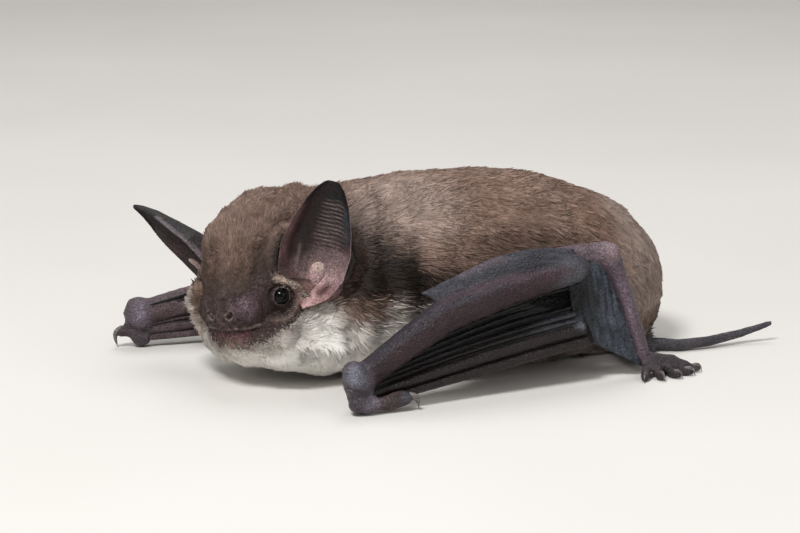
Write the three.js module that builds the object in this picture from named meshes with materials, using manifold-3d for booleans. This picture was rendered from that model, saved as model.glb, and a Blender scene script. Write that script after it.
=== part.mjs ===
// A vesper bat at rest, life size: it lies on its belly with both wings folded at its sides,
// its head turned to its left and its bare tail laid out behind.
// Millimetres, +Z up. The head points to -X, the tail to +X, and the animal's left side is -Y.
// The origin is on the floor, under the middle of the belly. The furred pieces reach to the
// tips of the coat.
import * as THREE from "three";
import { mergeVertices } from "three/addons/utils/BufferGeometryUtils.js";
import Module from "manifold-3d";

const wasm = await Module();
wasm.setup();

// ---------------------------------------------------------------- driving sizes
const GAP = 0.3; // clear space between neighbouring pieces
const SKIN = 0.6; // thickness of the ears and of the wing skin
const HEAD_CENTRE = new THREE.Vector3(-31, 1, 15.5);
const HEAD_TURN = 34; // degrees to its left
const HEAD_NOD = 18.5; // degrees, nose down
const HEAD_TILT = 7; // degrees, its left side up
const EYE_RADIUS = 1.25;
const EAR_LENGTH = 16.8;
const EAR_WIDTH = 11;
const FOREARM_RADIUS = 2.1; // beside the wrist
const FINGER_RADIUS = 0.85;
const TOES = 5;

// Where the joints of each limb are. The two sides lie differently: the right wing reaches
// further forward than the left one, and its thumb points forward, not back.
const at = (x, y, z) => new THREE.Vector3(x, y, z);
const POSE = {
  left: {
    outward: -1,
    shoulder: at(-14.5, -10.5, 14),
    elbow: at(9.8, -21, 17.4),
    arch: [2.1, 3.2, 1.7],
    wrist: at(-26, -23, 4.7),
    knuckle: at(10.2, -22.5, 9),
    thumb: [at(-24.9, -23.6, 1.4), at(-21.6, -24.5, 1.05), at(-19.2, -24.5, 1.75)],
    thumbClaw: [at(-19.0, -24.5, 1.7), at(-17.7, -24.9, 1.2), at(-17.2, -25, 0.4)],
    hip: at(3, -11, 16),
    knee: at(15.7, -19.6, 18.8),
    ankle: at(20.9, -21.3, 3.2),
  },
  right: {
    outward: 1,
    shoulder: at(-18, 10.5, 14),
    elbow: at(-4, 21.8, 11),
    arch: [0.1, 0.3, 0.3],
    wrist: at(-42.6, 25.2, 5.2),
    knuckle: at(-5.4, 23.2, 5.8),
    thumb: [at(-42.8, 25.6, 1.9), at(-44.2, 25.8, 2.5), at(-45.3, 25.9, 2.5)],
    thumbClaw: [at(-45.5, 25.9, 2.4), at(-46.2, 26, 1.5), at(-46.0, 26, 0.3)],
    hip: at(3, 11, 16),
    knee: at(15.7, 19.6, 18.8),
    ankle: at(20.9, 21.3, 3.2),
  },
};

// ---------------------------------------------------------------- shaping helpers
const radians = THREE.MathUtils.degToRad;
const mix = THREE.MathUtils.lerp;

// A smooth curve through rows of [position, value, value, ...]: gives the values at a position.
function smooth(rows) {
  const size = rows[0].length - 1;
  const line = new THREE.CubicInterpolant(
    rows.map((row) => row[0]),
    rows.flatMap((row) => row.slice(1)),
    size,
  );
  return (position) => Array.from(line.evaluate(position));
}

// A closed round body along its stations [x, y, z, half width, rise, drop]: a section reaches
// rise above its station and drop below it. Grow makes it larger all round, and fine is the
// number of rings from one station to the next.
function swept(stations, { sides = 16, fine = 1, grow = 0, up = at(0, 0, 1) } = {}) {
  const values = smooth(stations.map((station, i) => [i, ...station]));
  const last = stations.length - 1;
  const form = new THREE.SphereGeometry(1, sides, last * fine);
  const points = form.attributes.position;
  for (let i = 0; i < points.count; i++) {
    const across = points.getX(i);
    const rising = points.getZ(i);
    const round = Math.hypot(across, rising);
    const polar = Math.acos(THREE.MathUtils.clamp(points.getY(i), -1, 1));
    const reach = (polar / Math.PI) * last;
    const [x, y, z, width, rise, drop] = values(reach);
    const before = values(Math.max(reach - 0.1, 0));
    const after = values(Math.min(reach + 0.1, last));
    const along = at(after[0] - before[0], after[1] - before[1], after[2] - before[2]);
    along.normalize();
    const side = up.clone().cross(along).normalize();
    const above = along.clone().cross(side);
    const moved = at(x, y, z).addScaledVector(along, -Math.cos(polar) * grow);
    if (round > 1e-4) {
      const height = (rising > 0 ? rise : drop) + grow;
      moved.addScaledVector(side, (across / round) * (width + grow));
      moved.addScaledVector(above, (rising / round) * height);
    }
    points.setXYZ(i, moved.x, moved.y, moved.z);
  }
  return form;
}

// A limb with round ends through a few points, with a radius at each.
function limb(points, radii, options) {
  const stations = points.map((p, i) => [...p.toArray(), radii[i], radii[i], radii[i]]);
  const cap = (end, next, radius, share) => {
    const out = end.clone().sub(next).normalize();
    const spot = end.clone().addScaledVector(out, radius * share);
    const left = radius * Math.sqrt(1 - share * share);
    return [...spot.toArray(), left, left, left];
  };
  const last = points.length - 1;
  for (const share of [0.75, 1]) {
    stations.unshift(cap(points[0], points[1], radii[0], share));
    stations.push(cap(points[last], points[last - 1], radii[last], share));
  }
  return swept(stations, options);
}

// A claw: a curved point through a few places, thickest at its root.
function talon(points, radius, options) {
  const shares = [0, 1, 0.7, 0];
  const line = new THREE.CatmullRomCurve3(points);
  const stations = shares.map((share, i) => {
    const r = share * radius;
    return [...line.getPoint([0, 0.15, 0.6, 1][i]).toArray(), r, r, r];
  });
  return swept(stations, { sides: 5, ...options });
}

// A closed sheet around the surface middle(u, v), with u and v from 0 to 1.
function sheet(middle, thick, across, along) {
  const form = new THREE.BoxGeometry(1, 1, 1, across, along, 1);
  const points = form.attributes.position;
  const nudge = 1e-3;
  for (let i = 0; i < points.count; i++) {
    const u = points.getX(i) + 0.5;
    const v = points.getY(i) + 0.5;
    const overU = middle(u + nudge, v).sub(middle(u - nudge, v));
    const overV = middle(u, v + nudge).sub(middle(u, v - nudge));
    const out = overU.cross(overV).normalize();
    const moved = middle(u, v).addScaledVector(out, points.getZ(i) * thick);
    points.setXYZ(i, moved.x, moved.y, moved.z);
  }
  return form;
}

// ---------------------------------------------------------------- solids and cuts
function solid(geometry) {
  const bare = geometry.clone().deleteAttribute("normal").deleteAttribute("uv");
  const merged = mergeVertices(bare, 1e-4);
  const mesh = new wasm.Mesh({
    numProp: 3,
    vertProperties: merged.attributes.position.array,
    triVerts: new Uint32Array(merged.index.array),
  });
  return new wasm.Manifold(mesh);
}

const join = (...solids) => solids.reduce((whole, next) => whole.add(next));
const without = (whole, ...tools) => tools.reduce((left, tool) => left.subtract(tool), whole);
const onFloor = (whole) => whole.trimByPlane([0, 0, 1], 0);

// The two sides of a flat cut through a point, half a gap back from it on each side.
function part(whole, through, facing) {
  const n = facing.clone().normalize();
  const offset = n.dot(through);
  const ahead = whole.trimByPlane(n.toArray(), offset + GAP / 2);
  const behind = whole.trimByPlane(n.clone().negate().toArray(), GAP / 2 - offset);
  return [ahead, behind];
}

function largest(whole) {
  const bodies = whole.decompose();
  return bodies.reduce((a, b) => (b.volume() > a.volume() ? b : a));
}

// ---------------------------------------------------------------- materials
const finish = (color, roughness) =>
  new THREE.MeshStandardMaterial({ color, roughness, metalness: 0 });
const FUR = finish(0x6f5f50, 0.95);
const PALE_FUR = finish(0xa79c8c, 0.95);
const BARE = finish(0x4d3a3b, 0.6);
const MEMBRANE = finish(0x24252b, 0.6);
const LIMB = finish(0x46373c, 0.55);
const HORN = finish(0x8c857e, 0.4);
const EYE = finish(0x08070a, 0.08);

const bat = new THREE.Group();
function add(name, whole, material) {
  const mesh = largest(whole).getMesh();
  const geometry = new THREE.BufferGeometry();
  geometry.setAttribute("position", new THREE.BufferAttribute(mesh.vertProperties, 3));
  geometry.setIndex(new THREE.BufferAttribute(mesh.triVerts, 1));
  const node = new THREE.Mesh(geometry, material);
  node.name = name;
  bat.add(node);
}

// ---------------------------------------------------------------- trunk, throat, head and ears
// Stations [x, y, z, half width, rise, drop], from the rump to the shoulders.
const TRUNK = [
  [34.1, 0, 7.6, 0, 0, 0],
  [33.4, 0, 7.7, 5.2, 4.8, 8.4],
  [30.9, 0, 8.1, 9.0, 8.8, 10.6],
  [26.6, 0, 9.0, 12.4, 11.9, 12.6],
  [20.0, 0, 10.4, 15.2, 14.8, 12.8],
  [10.0, 0, 11.2, 16.8, 17.2, 13.0],
  [0.0, 0, 11.6, 17.0, 17.6, 13.4],
  [-10.0, 0, 12.0, 16.4, 17.4, 13.6],
  [-18.0, 0.8, 12.6, 13.4, 16.2, 13.8],
  [-25.0, 2.6, 13.2, 8.2, 15.2, 13.4],
  [-30.4, 2.4, 14.0, 6.0, 14.4, 9.0],
  [-34.4, 1, 14.0, 0, 0, 0],
];
const THROAT = [
  [-12, 1, 6, 0, 0, 0],
  [-15, 1, 6, 8, 6, 6],
  [-24, 1, 7, 12.5, 8, 8.4],
  [-31, 0.8, 7.6, 12.2, 8, 8.2],
  [-36, 0.6, 7.6, 9.6, 7, 7],
  [-39, 0.2, 7.4, 6, 5, 5],
  [-40.4, 0, 7.2, 0, 0, 0],
];
// In the head's own frame: x forward to the nose, y to its left, z up through the crown.
const SKULL = [
  [-11.2, 0, 0.2, 0, 0, 0],
  [-10.0, 0, 0.6, 5.4, 6.4, 5.6],
  [-6.6, 0, 0.8, 8.6, 11.0, 9.6],
  [-1.4, 0, 0.6, 9.6, 11.8, 12.0],
  [2.6, 0, 0.1, 8.9, 11.0, 12.0],
  [5.4, 0, -0.3, 7.6, 7.6, 11.0],
  [7.8, 0, -0.6, 6.3, 4.3, 8.4],
  [9.8, 0, -1.0, 5.2, 2.9, 6.0],
  [11.2, 0, -1.4, 3.8, 2.1, 4.2],
  [12.0, 0, -1.6, 0, 0, 0],
];
const CHEEKS = { centre: at(1.8, -1, -5), half: at(8.2, 11.8, 7.6) };
const EYE_AT = at(5.8, 7.5, 0);
const MUZZLE_FROM = 6.8; // how far forward of the head's centre the muzzle starts
const MOUTH_HEIGHT = -2.5;
const JAW_HEIGHT = -8; // the underside of the lower jaw

const turn = radians(HEAD_TURN);
const nod = radians(HEAD_NOD);
const tilt = radians(HEAD_TILT);
const forward = at(-Math.cos(turn) * Math.cos(nod), -Math.sin(turn) * Math.cos(nod), -Math.sin(nod));
const leftward = at(Math.sin(turn), -Math.cos(turn), 0).applyAxisAngle(forward, tilt);
const crownward = forward.clone().cross(leftward);
const headFrame = new THREE.Matrix4()
  .makeBasis(forward, leftward, crownward)
  .setPosition(HEAD_CENTRE);
const inHead = (x, y, z) => at(x, y, z).applyMatrix4(headFrame);
const towards = (x, y, z) => at(x, y, z).transformDirection(headFrame);

// Rows [share of the length, half width, depth of the cup, bend back], as shares of the ear's
// width and length.
const earShape = smooth([
  [0.0, 0.32, 0.3, 0],
  [0.16, 0.44, 0.34, 0.01],
  [0.38, 0.47, 0.32, 0.03],
  [0.6, 0.385, 0.24, 0.03],
  [0.8, 0.27, 0.14, 0.02],
  [0.93, 0.165, 0.07, 0],
  [1.0, 0.08, 0.02, -0.01],
]);
const EARS = {
  left: {
    base: inHead(3.4, 9.9, -0.8),
    points: towards(-7.8, 4.5, 13.8),
    opens: towards(0.7, 0.64, 0.25),
    tragus: inHead(2.1, 10.6, -0.3),
  },
  right: {
    base: inHead(-0.9, -11.1, -2.1),
    points: towards(-0.6, -12.2, 13),
    opens: towards(0.87, -0.34, -0.34),
    tragus: inHead(-1.4, -11.7, -0.6),
  },
};

function earForm({ base, points, opens }) {
  const side = opens.clone().cross(points).normalize();
  const back = side.clone().cross(points).normalize();
  const halfArc = radians(82);
  const middle = (u, v) => {
    const [halfWidth, depth, bend] = earShape(THREE.MathUtils.clamp(v, 0, 1));
    const angle = (u * 2 - 1) * halfArc;
    const bowl = (Math.cos(angle) - Math.cos(halfArc)) / (1 - Math.cos(halfArc));
    return base
      .clone()
      .addScaledVector(points, v * EAR_LENGTH)
      .addScaledVector(side, (halfWidth * EAR_WIDTH * Math.sin(angle)) / Math.sin(halfArc))
      .addScaledVector(back, depth * EAR_WIDTH * bowl + bend * EAR_LENGTH);
  };
  return solid(sheet(middle, SKIN, 7, 8));
}

// The hollow of the ear where it runs down into the head.
function earHollow({ base, points, opens }) {
  const stations = [0.02, 0.07, 0.2, 0.36, 0.52, 0.68, 0.72].map((share, i, all) => {
    const [halfWidth, depth, bend] = earShape(share);
    const open = i > 0 && i < all.length - 1 ? 1 : 0;
    const spot = base.clone().addScaledVector(points, share * EAR_LENGTH);
    const wall = SKIN / 2 + GAP;
    const sizes = [halfWidth * EAR_WIDTH, 8, depth * EAR_WIDTH + bend * EAR_LENGTH];
    return [...spot.toArray(), ...sizes.map((size) => (size + wall) * open)];
  });
  const dip = swept(stations, { sides: 10, up: opens });
  const out = opens.clone().multiplyScalar(4);
  return join(solid(dip), solid(dip.clone().translate(out.x, out.y, out.z)));
}

const trunkForm = (grow = 0) => solid(swept(TRUNK, { sides: 18, fine: 2, grow }));
const throatForm = (grow = 0) => solid(swept(THROAT, { sides: 14, grow }));
const skullForm = (grow = 0) =>
  solid(swept(SKULL, { sides: 14, fine: 2, grow }).applyMatrix4(headFrame));
const cheeksForm = (grow = 0) => {
  const [x, y, z] = CHEEKS.half.toArray().map((half) => half + grow);
  const round = new THREE.SphereGeometry(1, 14, 8).scale(x, y, z);
  return solid(round.translate(...CHEEKS.centre.toArray()).applyMatrix4(headFrame));
};
const ball = (centre, radius) =>
  solid(new THREE.SphereGeometry(radius, 10, 8).translate(...centre.toArray()));

// The swollen glands beside the nose, and the nose pad between the nostrils.
function snoutForm() {
  const pads = [-1, 1].map((side) =>
    limb([at(6.8, side * 3.9, 0), at(9, side * 3.3, -0.3)], [2.5, 2.4], { sides: 10 })
      .applyMatrix4(headFrame),
  );
  const nose = limb([at(10.7, -1.5, -0.5), at(10.7, 1.5, -0.5)], [1.25, 1.25], { sides: 8 })
    .applyMatrix4(headFrame);
  return join(...pads.map(solid), solid(nose));
}

const eyePlaces = {
  left: inHead(EYE_AT.x, EYE_AT.y, EYE_AT.z),
  right: inHead(EYE_AT.x, -EYE_AT.y, EYE_AT.z),
};
const sockets = Object.values(eyePlaces).map((place) => ball(place, EYE_RADIUS + GAP));
const hollows = Object.values(EARS).map(earHollow);
const wholeBody = onFloor(
  join(trunkForm(), throatForm(), skullForm(), cheeksForm(), snoutForm()),
);
const [headSide, bodySide] = part(
  without(wholeBody, ...sockets, ...hollows), at(-22, 0, 12), at(-1, -0.35, 0.1));
const [neck, trunkAndRump] = part(bodySide, at(-15.5, 0, 12), at(-1, -0.12, 0));
const [trunk, rump] = part(trunkAndRump, at(16, 0, 12), at(-1, 0, 0));
const [overJaw, throat] = part(headSide, inHead(8, 0, JAW_HEIGHT), towards(-0.3, 0, 1));
const [face, cranium] = part(overJaw, inHead(MUZZLE_FROM, 0, 0), towards(1, 0, -0.35));
const [muzzle, lowerJaw] = part(face, inHead(11.2, 0, MOUTH_HEIGHT), towards(-0.3, 0, 1));
const bodyGrown = without(
  join(trunkForm(GAP), throatForm(GAP), skullForm(GAP), cheeksForm(GAP)), ...hollows);

for (const [side, place] of Object.entries(eyePlaces)) {
  add(`eye_${side}`, ball(place, EYE_RADIUS), EYE);
}
add("head", cranium, FUR);
add("muzzle", muzzle, BARE);
add("lower_jaw", lowerJaw, BARE);
add("throat", throat, PALE_FUR);
add("neck", neck, FUR);
add("trunk", trunk, FUR);
add("rump", rump, FUR);

function tragusForm({ tragus, points, opens }, grow = 0) {
  const tip = tragus.clone().addScaledVector(points, 3.4).addScaledVector(opens, 0.6);
  const half = tragus.clone().lerp(tip, 0.55);
  return solid(limb([tragus, half, tip], [1.2, 1.35, 1], { sides: 8, grow }));
}

for (const [side, ear] of Object.entries(EARS)) {
  add(`ear_${side}`, without(earForm(ear), bodyGrown, tragusForm(ear, GAP)), BARE);
  add(`tragus_${side}`, without(tragusForm(ear), bodyGrown), BARE);
}

// ---------------------------------------------------------------- wings
const between = (a, b, share) => a.clone().lerp(b, share);
const along = (points) => new THREE.CatmullRomCurve3(points);

// A sheet between two curved edges, bulging outward by the given height.
function web(upper, lower, { thick = SKIN, bulge = 0, across = 10, down = 4, out }) {
  const [top, bottom] = [along(upper), along(lower)];
  const middle = (u, v) => {
    const [i, j] = [u, v].map((value) => THREE.MathUtils.clamp(value, 0, 1));
    const over = at(u - i, v - j, 0).multiplyScalar(8);
    return top
      .getPoint(i)
      .lerp(bottom.getPoint(i), j)
      .addScaledVector(out, bulge * Math.sin(Math.PI * j) * Math.sin(Math.PI * i))
      .add(at(over.x, 0, -over.y));
  };
  return sheet(middle, thick, across, down);
}

const solids = {};
for (const side of ["left", "right"]) {
  const { outward, shoulder, elbow, arch, wrist, knuckle, thumb, thumbClaw } = POSE[side];
  const { hip, knee, ankle } = POSE[side];
  const outside = at(0, outward, 0);
  const by = (from, x, out, z) => from.clone().add(at(x, outward * out, z));

  // Bones of the arm. The forearm is arched.
  const bow = [0.33, 0.62, 0.82].map((share, i) =>
    by(between(elbow, wrist, share), 0, 0.25, arch[i]));
  const armRadii = [0.98, 1.1, 1.2, 1.05, 1].map((share) => share * FOREARM_RADIUS);
  const forearm = (grow) => solid(limb([elbow, ...bow, wrist], armRadii, { sides: 10, grow }));
  const knob = (grow) =>
    solid(
      limb([by(wrist, 0.1, 0, 0.4), by(wrist, 0.4, 0.1, 1.8 - wrist.z)], [2.5, 1.85],
        { sides: 10, grow, up: at(1, 0, 0) }),
    );
  const upperArm = (grow) =>
    solid(
      limb([shoulder, between(shoulder, elbow, 0.35), between(shoulder, elbow, 0.75), elbow],
        [3.4, 2.9, 2.3, 2.0], { sides: 10, grow }),
    );
  const thumbForm = (grow) => solid(limb(thumb, [0.95, 0.8, 0.9], { sides: 8, grow }));
  const clawForm = (grow) => solid(talon(thumbClaw, 0.5, { grow }));
  const [claw, clawGrown] = [clawForm(0), clawForm(GAP)];

  // The skin in front of the arm, from the upper arm down to the forearm.
  const armWeb = (thick) =>
    solid(
      web(
        [by(elbow, 0, -0.6, 2.9), by(elbow, -6, -1.4, 3.3), by(elbow, -13, -1.6, 2.4),
          by(elbow, -18.5, -1.8, 0.4), by(elbow, -24.6, -1.9, -1.8)],
        [by(elbow, -0.6, 0.9, 0.4), by(elbow, -6, 1.8, -0.6), by(elbow, -12, 2.0, -1.6),
          by(elbow, -17, 1.6, -2.4), by(elbow, -22.2, 0.9, -2.9)],
        { thick, out: outside, bulge: 0.5 },
      ),
    );

  // The long bones of the hand, folded back beside the forearm.
  const ends = [by(knuckle, -3, 0, 3.3), by(knuckle, -0.4, 0.1, 1.8), by(knuckle, 0, 0.2, 0),
    by(knuckle, 1.8, 0.2, -1.8)];
  const fingerForm = (i, grow) => {
    const start = by(wrist, 1.9 + 0.2 * i, 0.4, 0.6 - 1.15 * i);
    const rise = by(between(start, ends[i], 0.45), 0, 0.5, arch[1] * 0.6 - 0.75 * i);
    return solid(
      limb([start, rise, ends[i]], [0.55, FINGER_RADIUS - 0.05, FINGER_RADIUS],
        { sides: 8, grow }),
    );
  };
  const fingers = [0, 1, 2, 3].map((i) => fingerForm(i, 0));
  const fingersGrown = [0, 1, 2, 3].map((i) => fingerForm(i, GAP));
  const folds = solid(
    web(
      [by(wrist, 2.4, -0.9, 1.2), between(by(wrist, 0, -1.5, 3), by(knuckle, 0, -1.5, 7), 0.5),
        by(knuckle, -1.4, -1.6, 5)],
      [by(wrist, 2.8, -0.9, -2.6), between(by(wrist, 0, -1, -3), by(knuckle, 1, -1, -2.4), 0.5),
        by(knuckle, 0.8, -1, -2.6)],
      { out: outside, across: 6, down: 4 },
    ),
  );

  // The hind leg.
  const thigh = (grow) =>
    solid(limb([hip, between(hip, knee, 0.5), knee], [3.2, 2.2, 1.9], { sides: 10, grow }));
  const shank = (grow) =>
    solid(
      limb([knee, by(between(knee, ankle, 0.4), 0.3, 0.3, 0), ankle], [1.95, 1.45, 1.15],
        { sides: 10, grow, up: at(1, 0, 0) }),
    );
  const foot = solid(
    limb([by(ankle, 0.3, 0, -0.7), by(ankle, 2.4, 0.6, -1.5), by(ankle, 4.6, 1, -1.8)],
      [1.2, 1.35, 1.35], { sides: 7 }),
  );
  const toes = Array.from({ length: TOES }, (_, i) => {
    const share = i / (TOES - 1);
    const heading = radians(mix(124, 14, share));
    const reach = at(Math.cos(heading), outward * Math.sin(heading), 0);
    const root = by(ankle, mix(0.3, 5.0, share), mix(0.9, 1.2, share), -1.7);
    const step = (length, height) => at(root.x, root.y, height).addScaledVector(reach, length);
    const toe = limb([root, step(1.5, 1.3), step(2.5, 0.45)], [0.75, 0.6, 0.55], { sides: 5 });
    const nail = talon([step(2.3, 0.8), step(3.5, 0.75), step(3.9, 0.05)], 0.42, { sides: 4 });
    return join(solid(toe), solid(nail));
  });

  // The wing skin from the flank to the shank.
  const sideWeb = solid(
    web(
      [at(knee.x - 15, outward * 18.3, 11.5), at(knee.x - 9.5, outward * 18.7, 14),
        at(knee.x - 5, outward * 18.9, 15.4), by(knee, 0.6, -0.2, -1.6)],
      [at(knee.x - 15, outward * 18.7, 6.6), at(knee.x - 9.5, outward * 19.5, 6.6),
        at(knee.x - 3.6, outward * 20.4, 6.4), by(ankle, -0.5, 0, 0.2)],
      { out: outside, across: 6, down: 3 },
    ),
  );

  add(`wrist_${side}`, onFloor(knob(0)), LIMB);
  add(`forearm_${side}`, without(forearm(0), knob(GAP)), LIMB);
  const armCutters = [forearm(GAP), armWeb(SKIN + 2 * GAP), bodyGrown];
  add(`upper_arm_${side}`, without(upperArm(0), ...armCutters), LIMB);
  add(`arm_membrane_${side}`, without(armWeb(SKIN), forearm(GAP), bodyGrown), MEMBRANE);
  add(`thumb_${side}`, onFloor(without(thumbForm(0), knob(GAP))), LIMB);
  add(`thumb_claw_${side}`, onFloor(without(claw, thumbForm(GAP), knob(GAP))), HORN);
  fingers.forEach((finger, i) => {
    const cutters = [knob(GAP), forearm(GAP), thumbForm(GAP), clawGrown, ...fingersGrown.slice(0, i)];
    add(`finger_${i + 2}_${side}`, onFloor(without(finger, ...cutters)), LIMB);
  });
  add(`wing_folds_${side}`,
    without(folds, knob(GAP), forearm(GAP), thumbForm(GAP), ...fingersGrown, bodyGrown), MEMBRANE);
  add(`thigh_${side}`, without(thigh(0), bodyGrown, forearm(GAP), upperArm(GAP)), LIMB);
  add(`shank_${side}`, without(shank(0), thigh(GAP), forearm(GAP)), LIMB);
  add(`foot_${side}`, onFloor(without(join(foot, ...toes), shank(GAP))), LIMB);
  add(`side_membrane_${side}`,
    without(sideWeb, shank(GAP), thigh(GAP), forearm(GAP), upperArm(GAP), bodyGrown,
      folds.translate([0, outward * -0.3, 0]), ...fingersGrown), MEMBRANE);
  solids[side] = { shank: shank(GAP), foot: join(foot, ...toes) };
}

// ---------------------------------------------------------------- tail
const TAIL = [at(25, -4, 3), at(28.6, -9.2, 1.2), at(33, -11.4, 1), at(38, -11.7, 1.1),
  at(44, -11.4, 1.7), at(48.9, -12, 2.9)];
const tailForm = (grow = 0) =>
  solid(limb(TAIL, [1.3, 1.1, 0.95, 0.85, 0.7, 0.45], { sides: 8, grow }));
add("tail", onFloor(without(tailForm(), bodyGrown)), LIMB);

// The skin between the legs lies slack on the floor on both sides of the tail.
for (const side of ["left", "right"]) {
  const { ankle, outward } = POSE[side];
  const near = (x, y, z) => at(x, outward * y, z);
  const slack = solid(
    web(
      [near(21.3, 18.8, 2.4), near(22.5, 12.5, 1.4), near(27, 5, 1.3)],
      [near(22.8, 19, 1.9), near(26.5, 14.5, 0.7), near(31, 8, 0.6)],
      { out: at(0, 0, 1), across: 6, down: 2 },
    ),
  );
  add(`tail_membrane_${side}`,
    onFloor(without(slack, bodyGrown, tailForm(GAP), solids[side].shank, solids[side].foot)),
    MEMBRANE);
}

export default bat;
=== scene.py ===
# A vesper bat at rest, life size, as a museum model: one skin, a short coat of small tufts,
# glossy eyes and horn claws. Shapes are worked in millimetres and written in metres.
import math

import bmesh
import bpy
import numpy as np
from mathutils import Matrix, Vector
from mathutils.bvhtree import BVHTree
from mathutils.kdtree import KDTree


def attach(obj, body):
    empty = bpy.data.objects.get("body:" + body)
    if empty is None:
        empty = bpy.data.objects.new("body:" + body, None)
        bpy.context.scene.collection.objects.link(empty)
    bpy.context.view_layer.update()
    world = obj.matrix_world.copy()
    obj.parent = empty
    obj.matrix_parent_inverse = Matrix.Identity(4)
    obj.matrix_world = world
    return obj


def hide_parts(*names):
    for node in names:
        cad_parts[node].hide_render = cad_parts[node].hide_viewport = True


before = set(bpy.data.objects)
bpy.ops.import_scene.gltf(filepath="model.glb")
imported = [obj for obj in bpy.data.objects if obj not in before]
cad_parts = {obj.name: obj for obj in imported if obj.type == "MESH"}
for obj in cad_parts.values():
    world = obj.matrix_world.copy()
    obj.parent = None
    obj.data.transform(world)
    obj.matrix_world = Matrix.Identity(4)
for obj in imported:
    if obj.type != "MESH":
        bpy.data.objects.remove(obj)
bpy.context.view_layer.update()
MM = 0.001

BODY = ("trunk", "rump", "neck", "throat", "head", "muzzle", "lower_jaw")
ARM = ("upper_arm", "forearm", "wrist", "thumb", "arm_membrane")
LEG = ("thigh", "shank", "foot")
FINGERS = ("finger_2", "finger_3", "finger_4", "finger_5")
TAIL = ("tail", "tail_membrane_left", "tail_membrane_right")
SIDES = {"left": -1.0, "right": 1.0}  # which way along Y each side lies

# Relief of the bare parts: how strong their creases, their long folds and their pores are.
GROUND_RELIEF, MASK_RELIEF = np.full(3, 0.2), np.array((0.35, 0.1, 0.9))
LIMB_RELIEF, MEMBRANE_RELIEF = np.array((0.6, 0.35, 0.7)), np.array((0.4, 0.6, 0.7))
SHEET_RELIEF, FOLD_RELIEF = (0.3, 0.3, 0.9), (0.3, 0.25, 0.5)
EAR_RELIEF, TRAGUS_RELIEF = (0.15, 0.1, 0.6), (0.2, 0, 0.5)


# ------------------------------------------------------------------ camera and light
VIEW_FROM, VIEW_AT = (-24, 13, 400), (-6.47, 6.27, 13.42)  # azimuth, elevation, distance; place
LIGHT_AT = (-6, 0, 15)


def add_facing(name, data, azimuth, elevation, distance, aim):
    """Adds a lamp or a camera that looks at a place from an angle and a distance."""
    a, e = math.radians(azimuth), math.radians(elevation)
    back = Vector((math.sin(a) * math.cos(e), -math.cos(a) * math.cos(e), math.sin(e)))
    piece = bpy.data.objects.new(name, data)
    piece.location = (Vector(aim) + back * distance) * MM
    piece.rotation_mode = "QUATERNION"
    piece.rotation_quaternion = back.to_track_quat("Z", "Y")
    bpy.context.scene.collection.objects.link(piece)
    return piece


def place_camera():
    data = bpy.data.cameras.new("camera")
    data.lens = 117
    data.sensor_width = 36
    data.clip_start = 10 * MM
    bpy.context.scene.camera = add_facing("camera", data, *VIEW_FROM, VIEW_AT)


def soft_lamp(name, azimuth, elevation, distance, size, power):
    data = bpy.data.lights.new(name, "AREA")
    data.shape = "DISK"
    data.size = size * MM
    data.energy = power
    add_facing(name, data, azimuth, elevation, distance, LIGHT_AT)


def light_studio():
    soft_lamp("key_lamp", -50, 55, 550, 160, 2.3)
    soft_lamp("fill_lamp", 30, 30, 700, 500, 0.6)
    soft_lamp("top_lamp", 150, 65, 600, 400, 1.0)
    world = bpy.data.worlds.new("studio")
    world.use_nodes = True
    sky = world.node_tree.nodes["Background"].inputs
    sky["Color"].default_value = (1, 0.99, 0.97, 1)
    sky["Strength"].default_value = 0.36
    bpy.context.scene.world = world
    bpy.context.scene.view_settings.view_transform = "Standard"


# ------------------------------------------------------------------ colours and materials
def tone(code):
    """A linear colour from its written form."""
    parts = np.array([int(code[i:i + 2], 16) / 255 for i in (0, 2, 4)])
    return np.where(parts <= 0.04045, parts / 12.92, ((parts + 0.055) / 1.055) ** 2.4)


def blend(colour, aim, share):
    """Moves colours towards others, or towards a written one, by a share for each point."""
    aim = tone(aim) if isinstance(aim, str) else aim
    return colour + np.reshape(share, (-1, 1)) * (aim - colour)


def mottled(colour, places, size, seed, strength=0.12):
    """Colours made unevenly lighter and darker."""
    return colour * (1 + strength * ripple(places, size, seed))[:, None]


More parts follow.
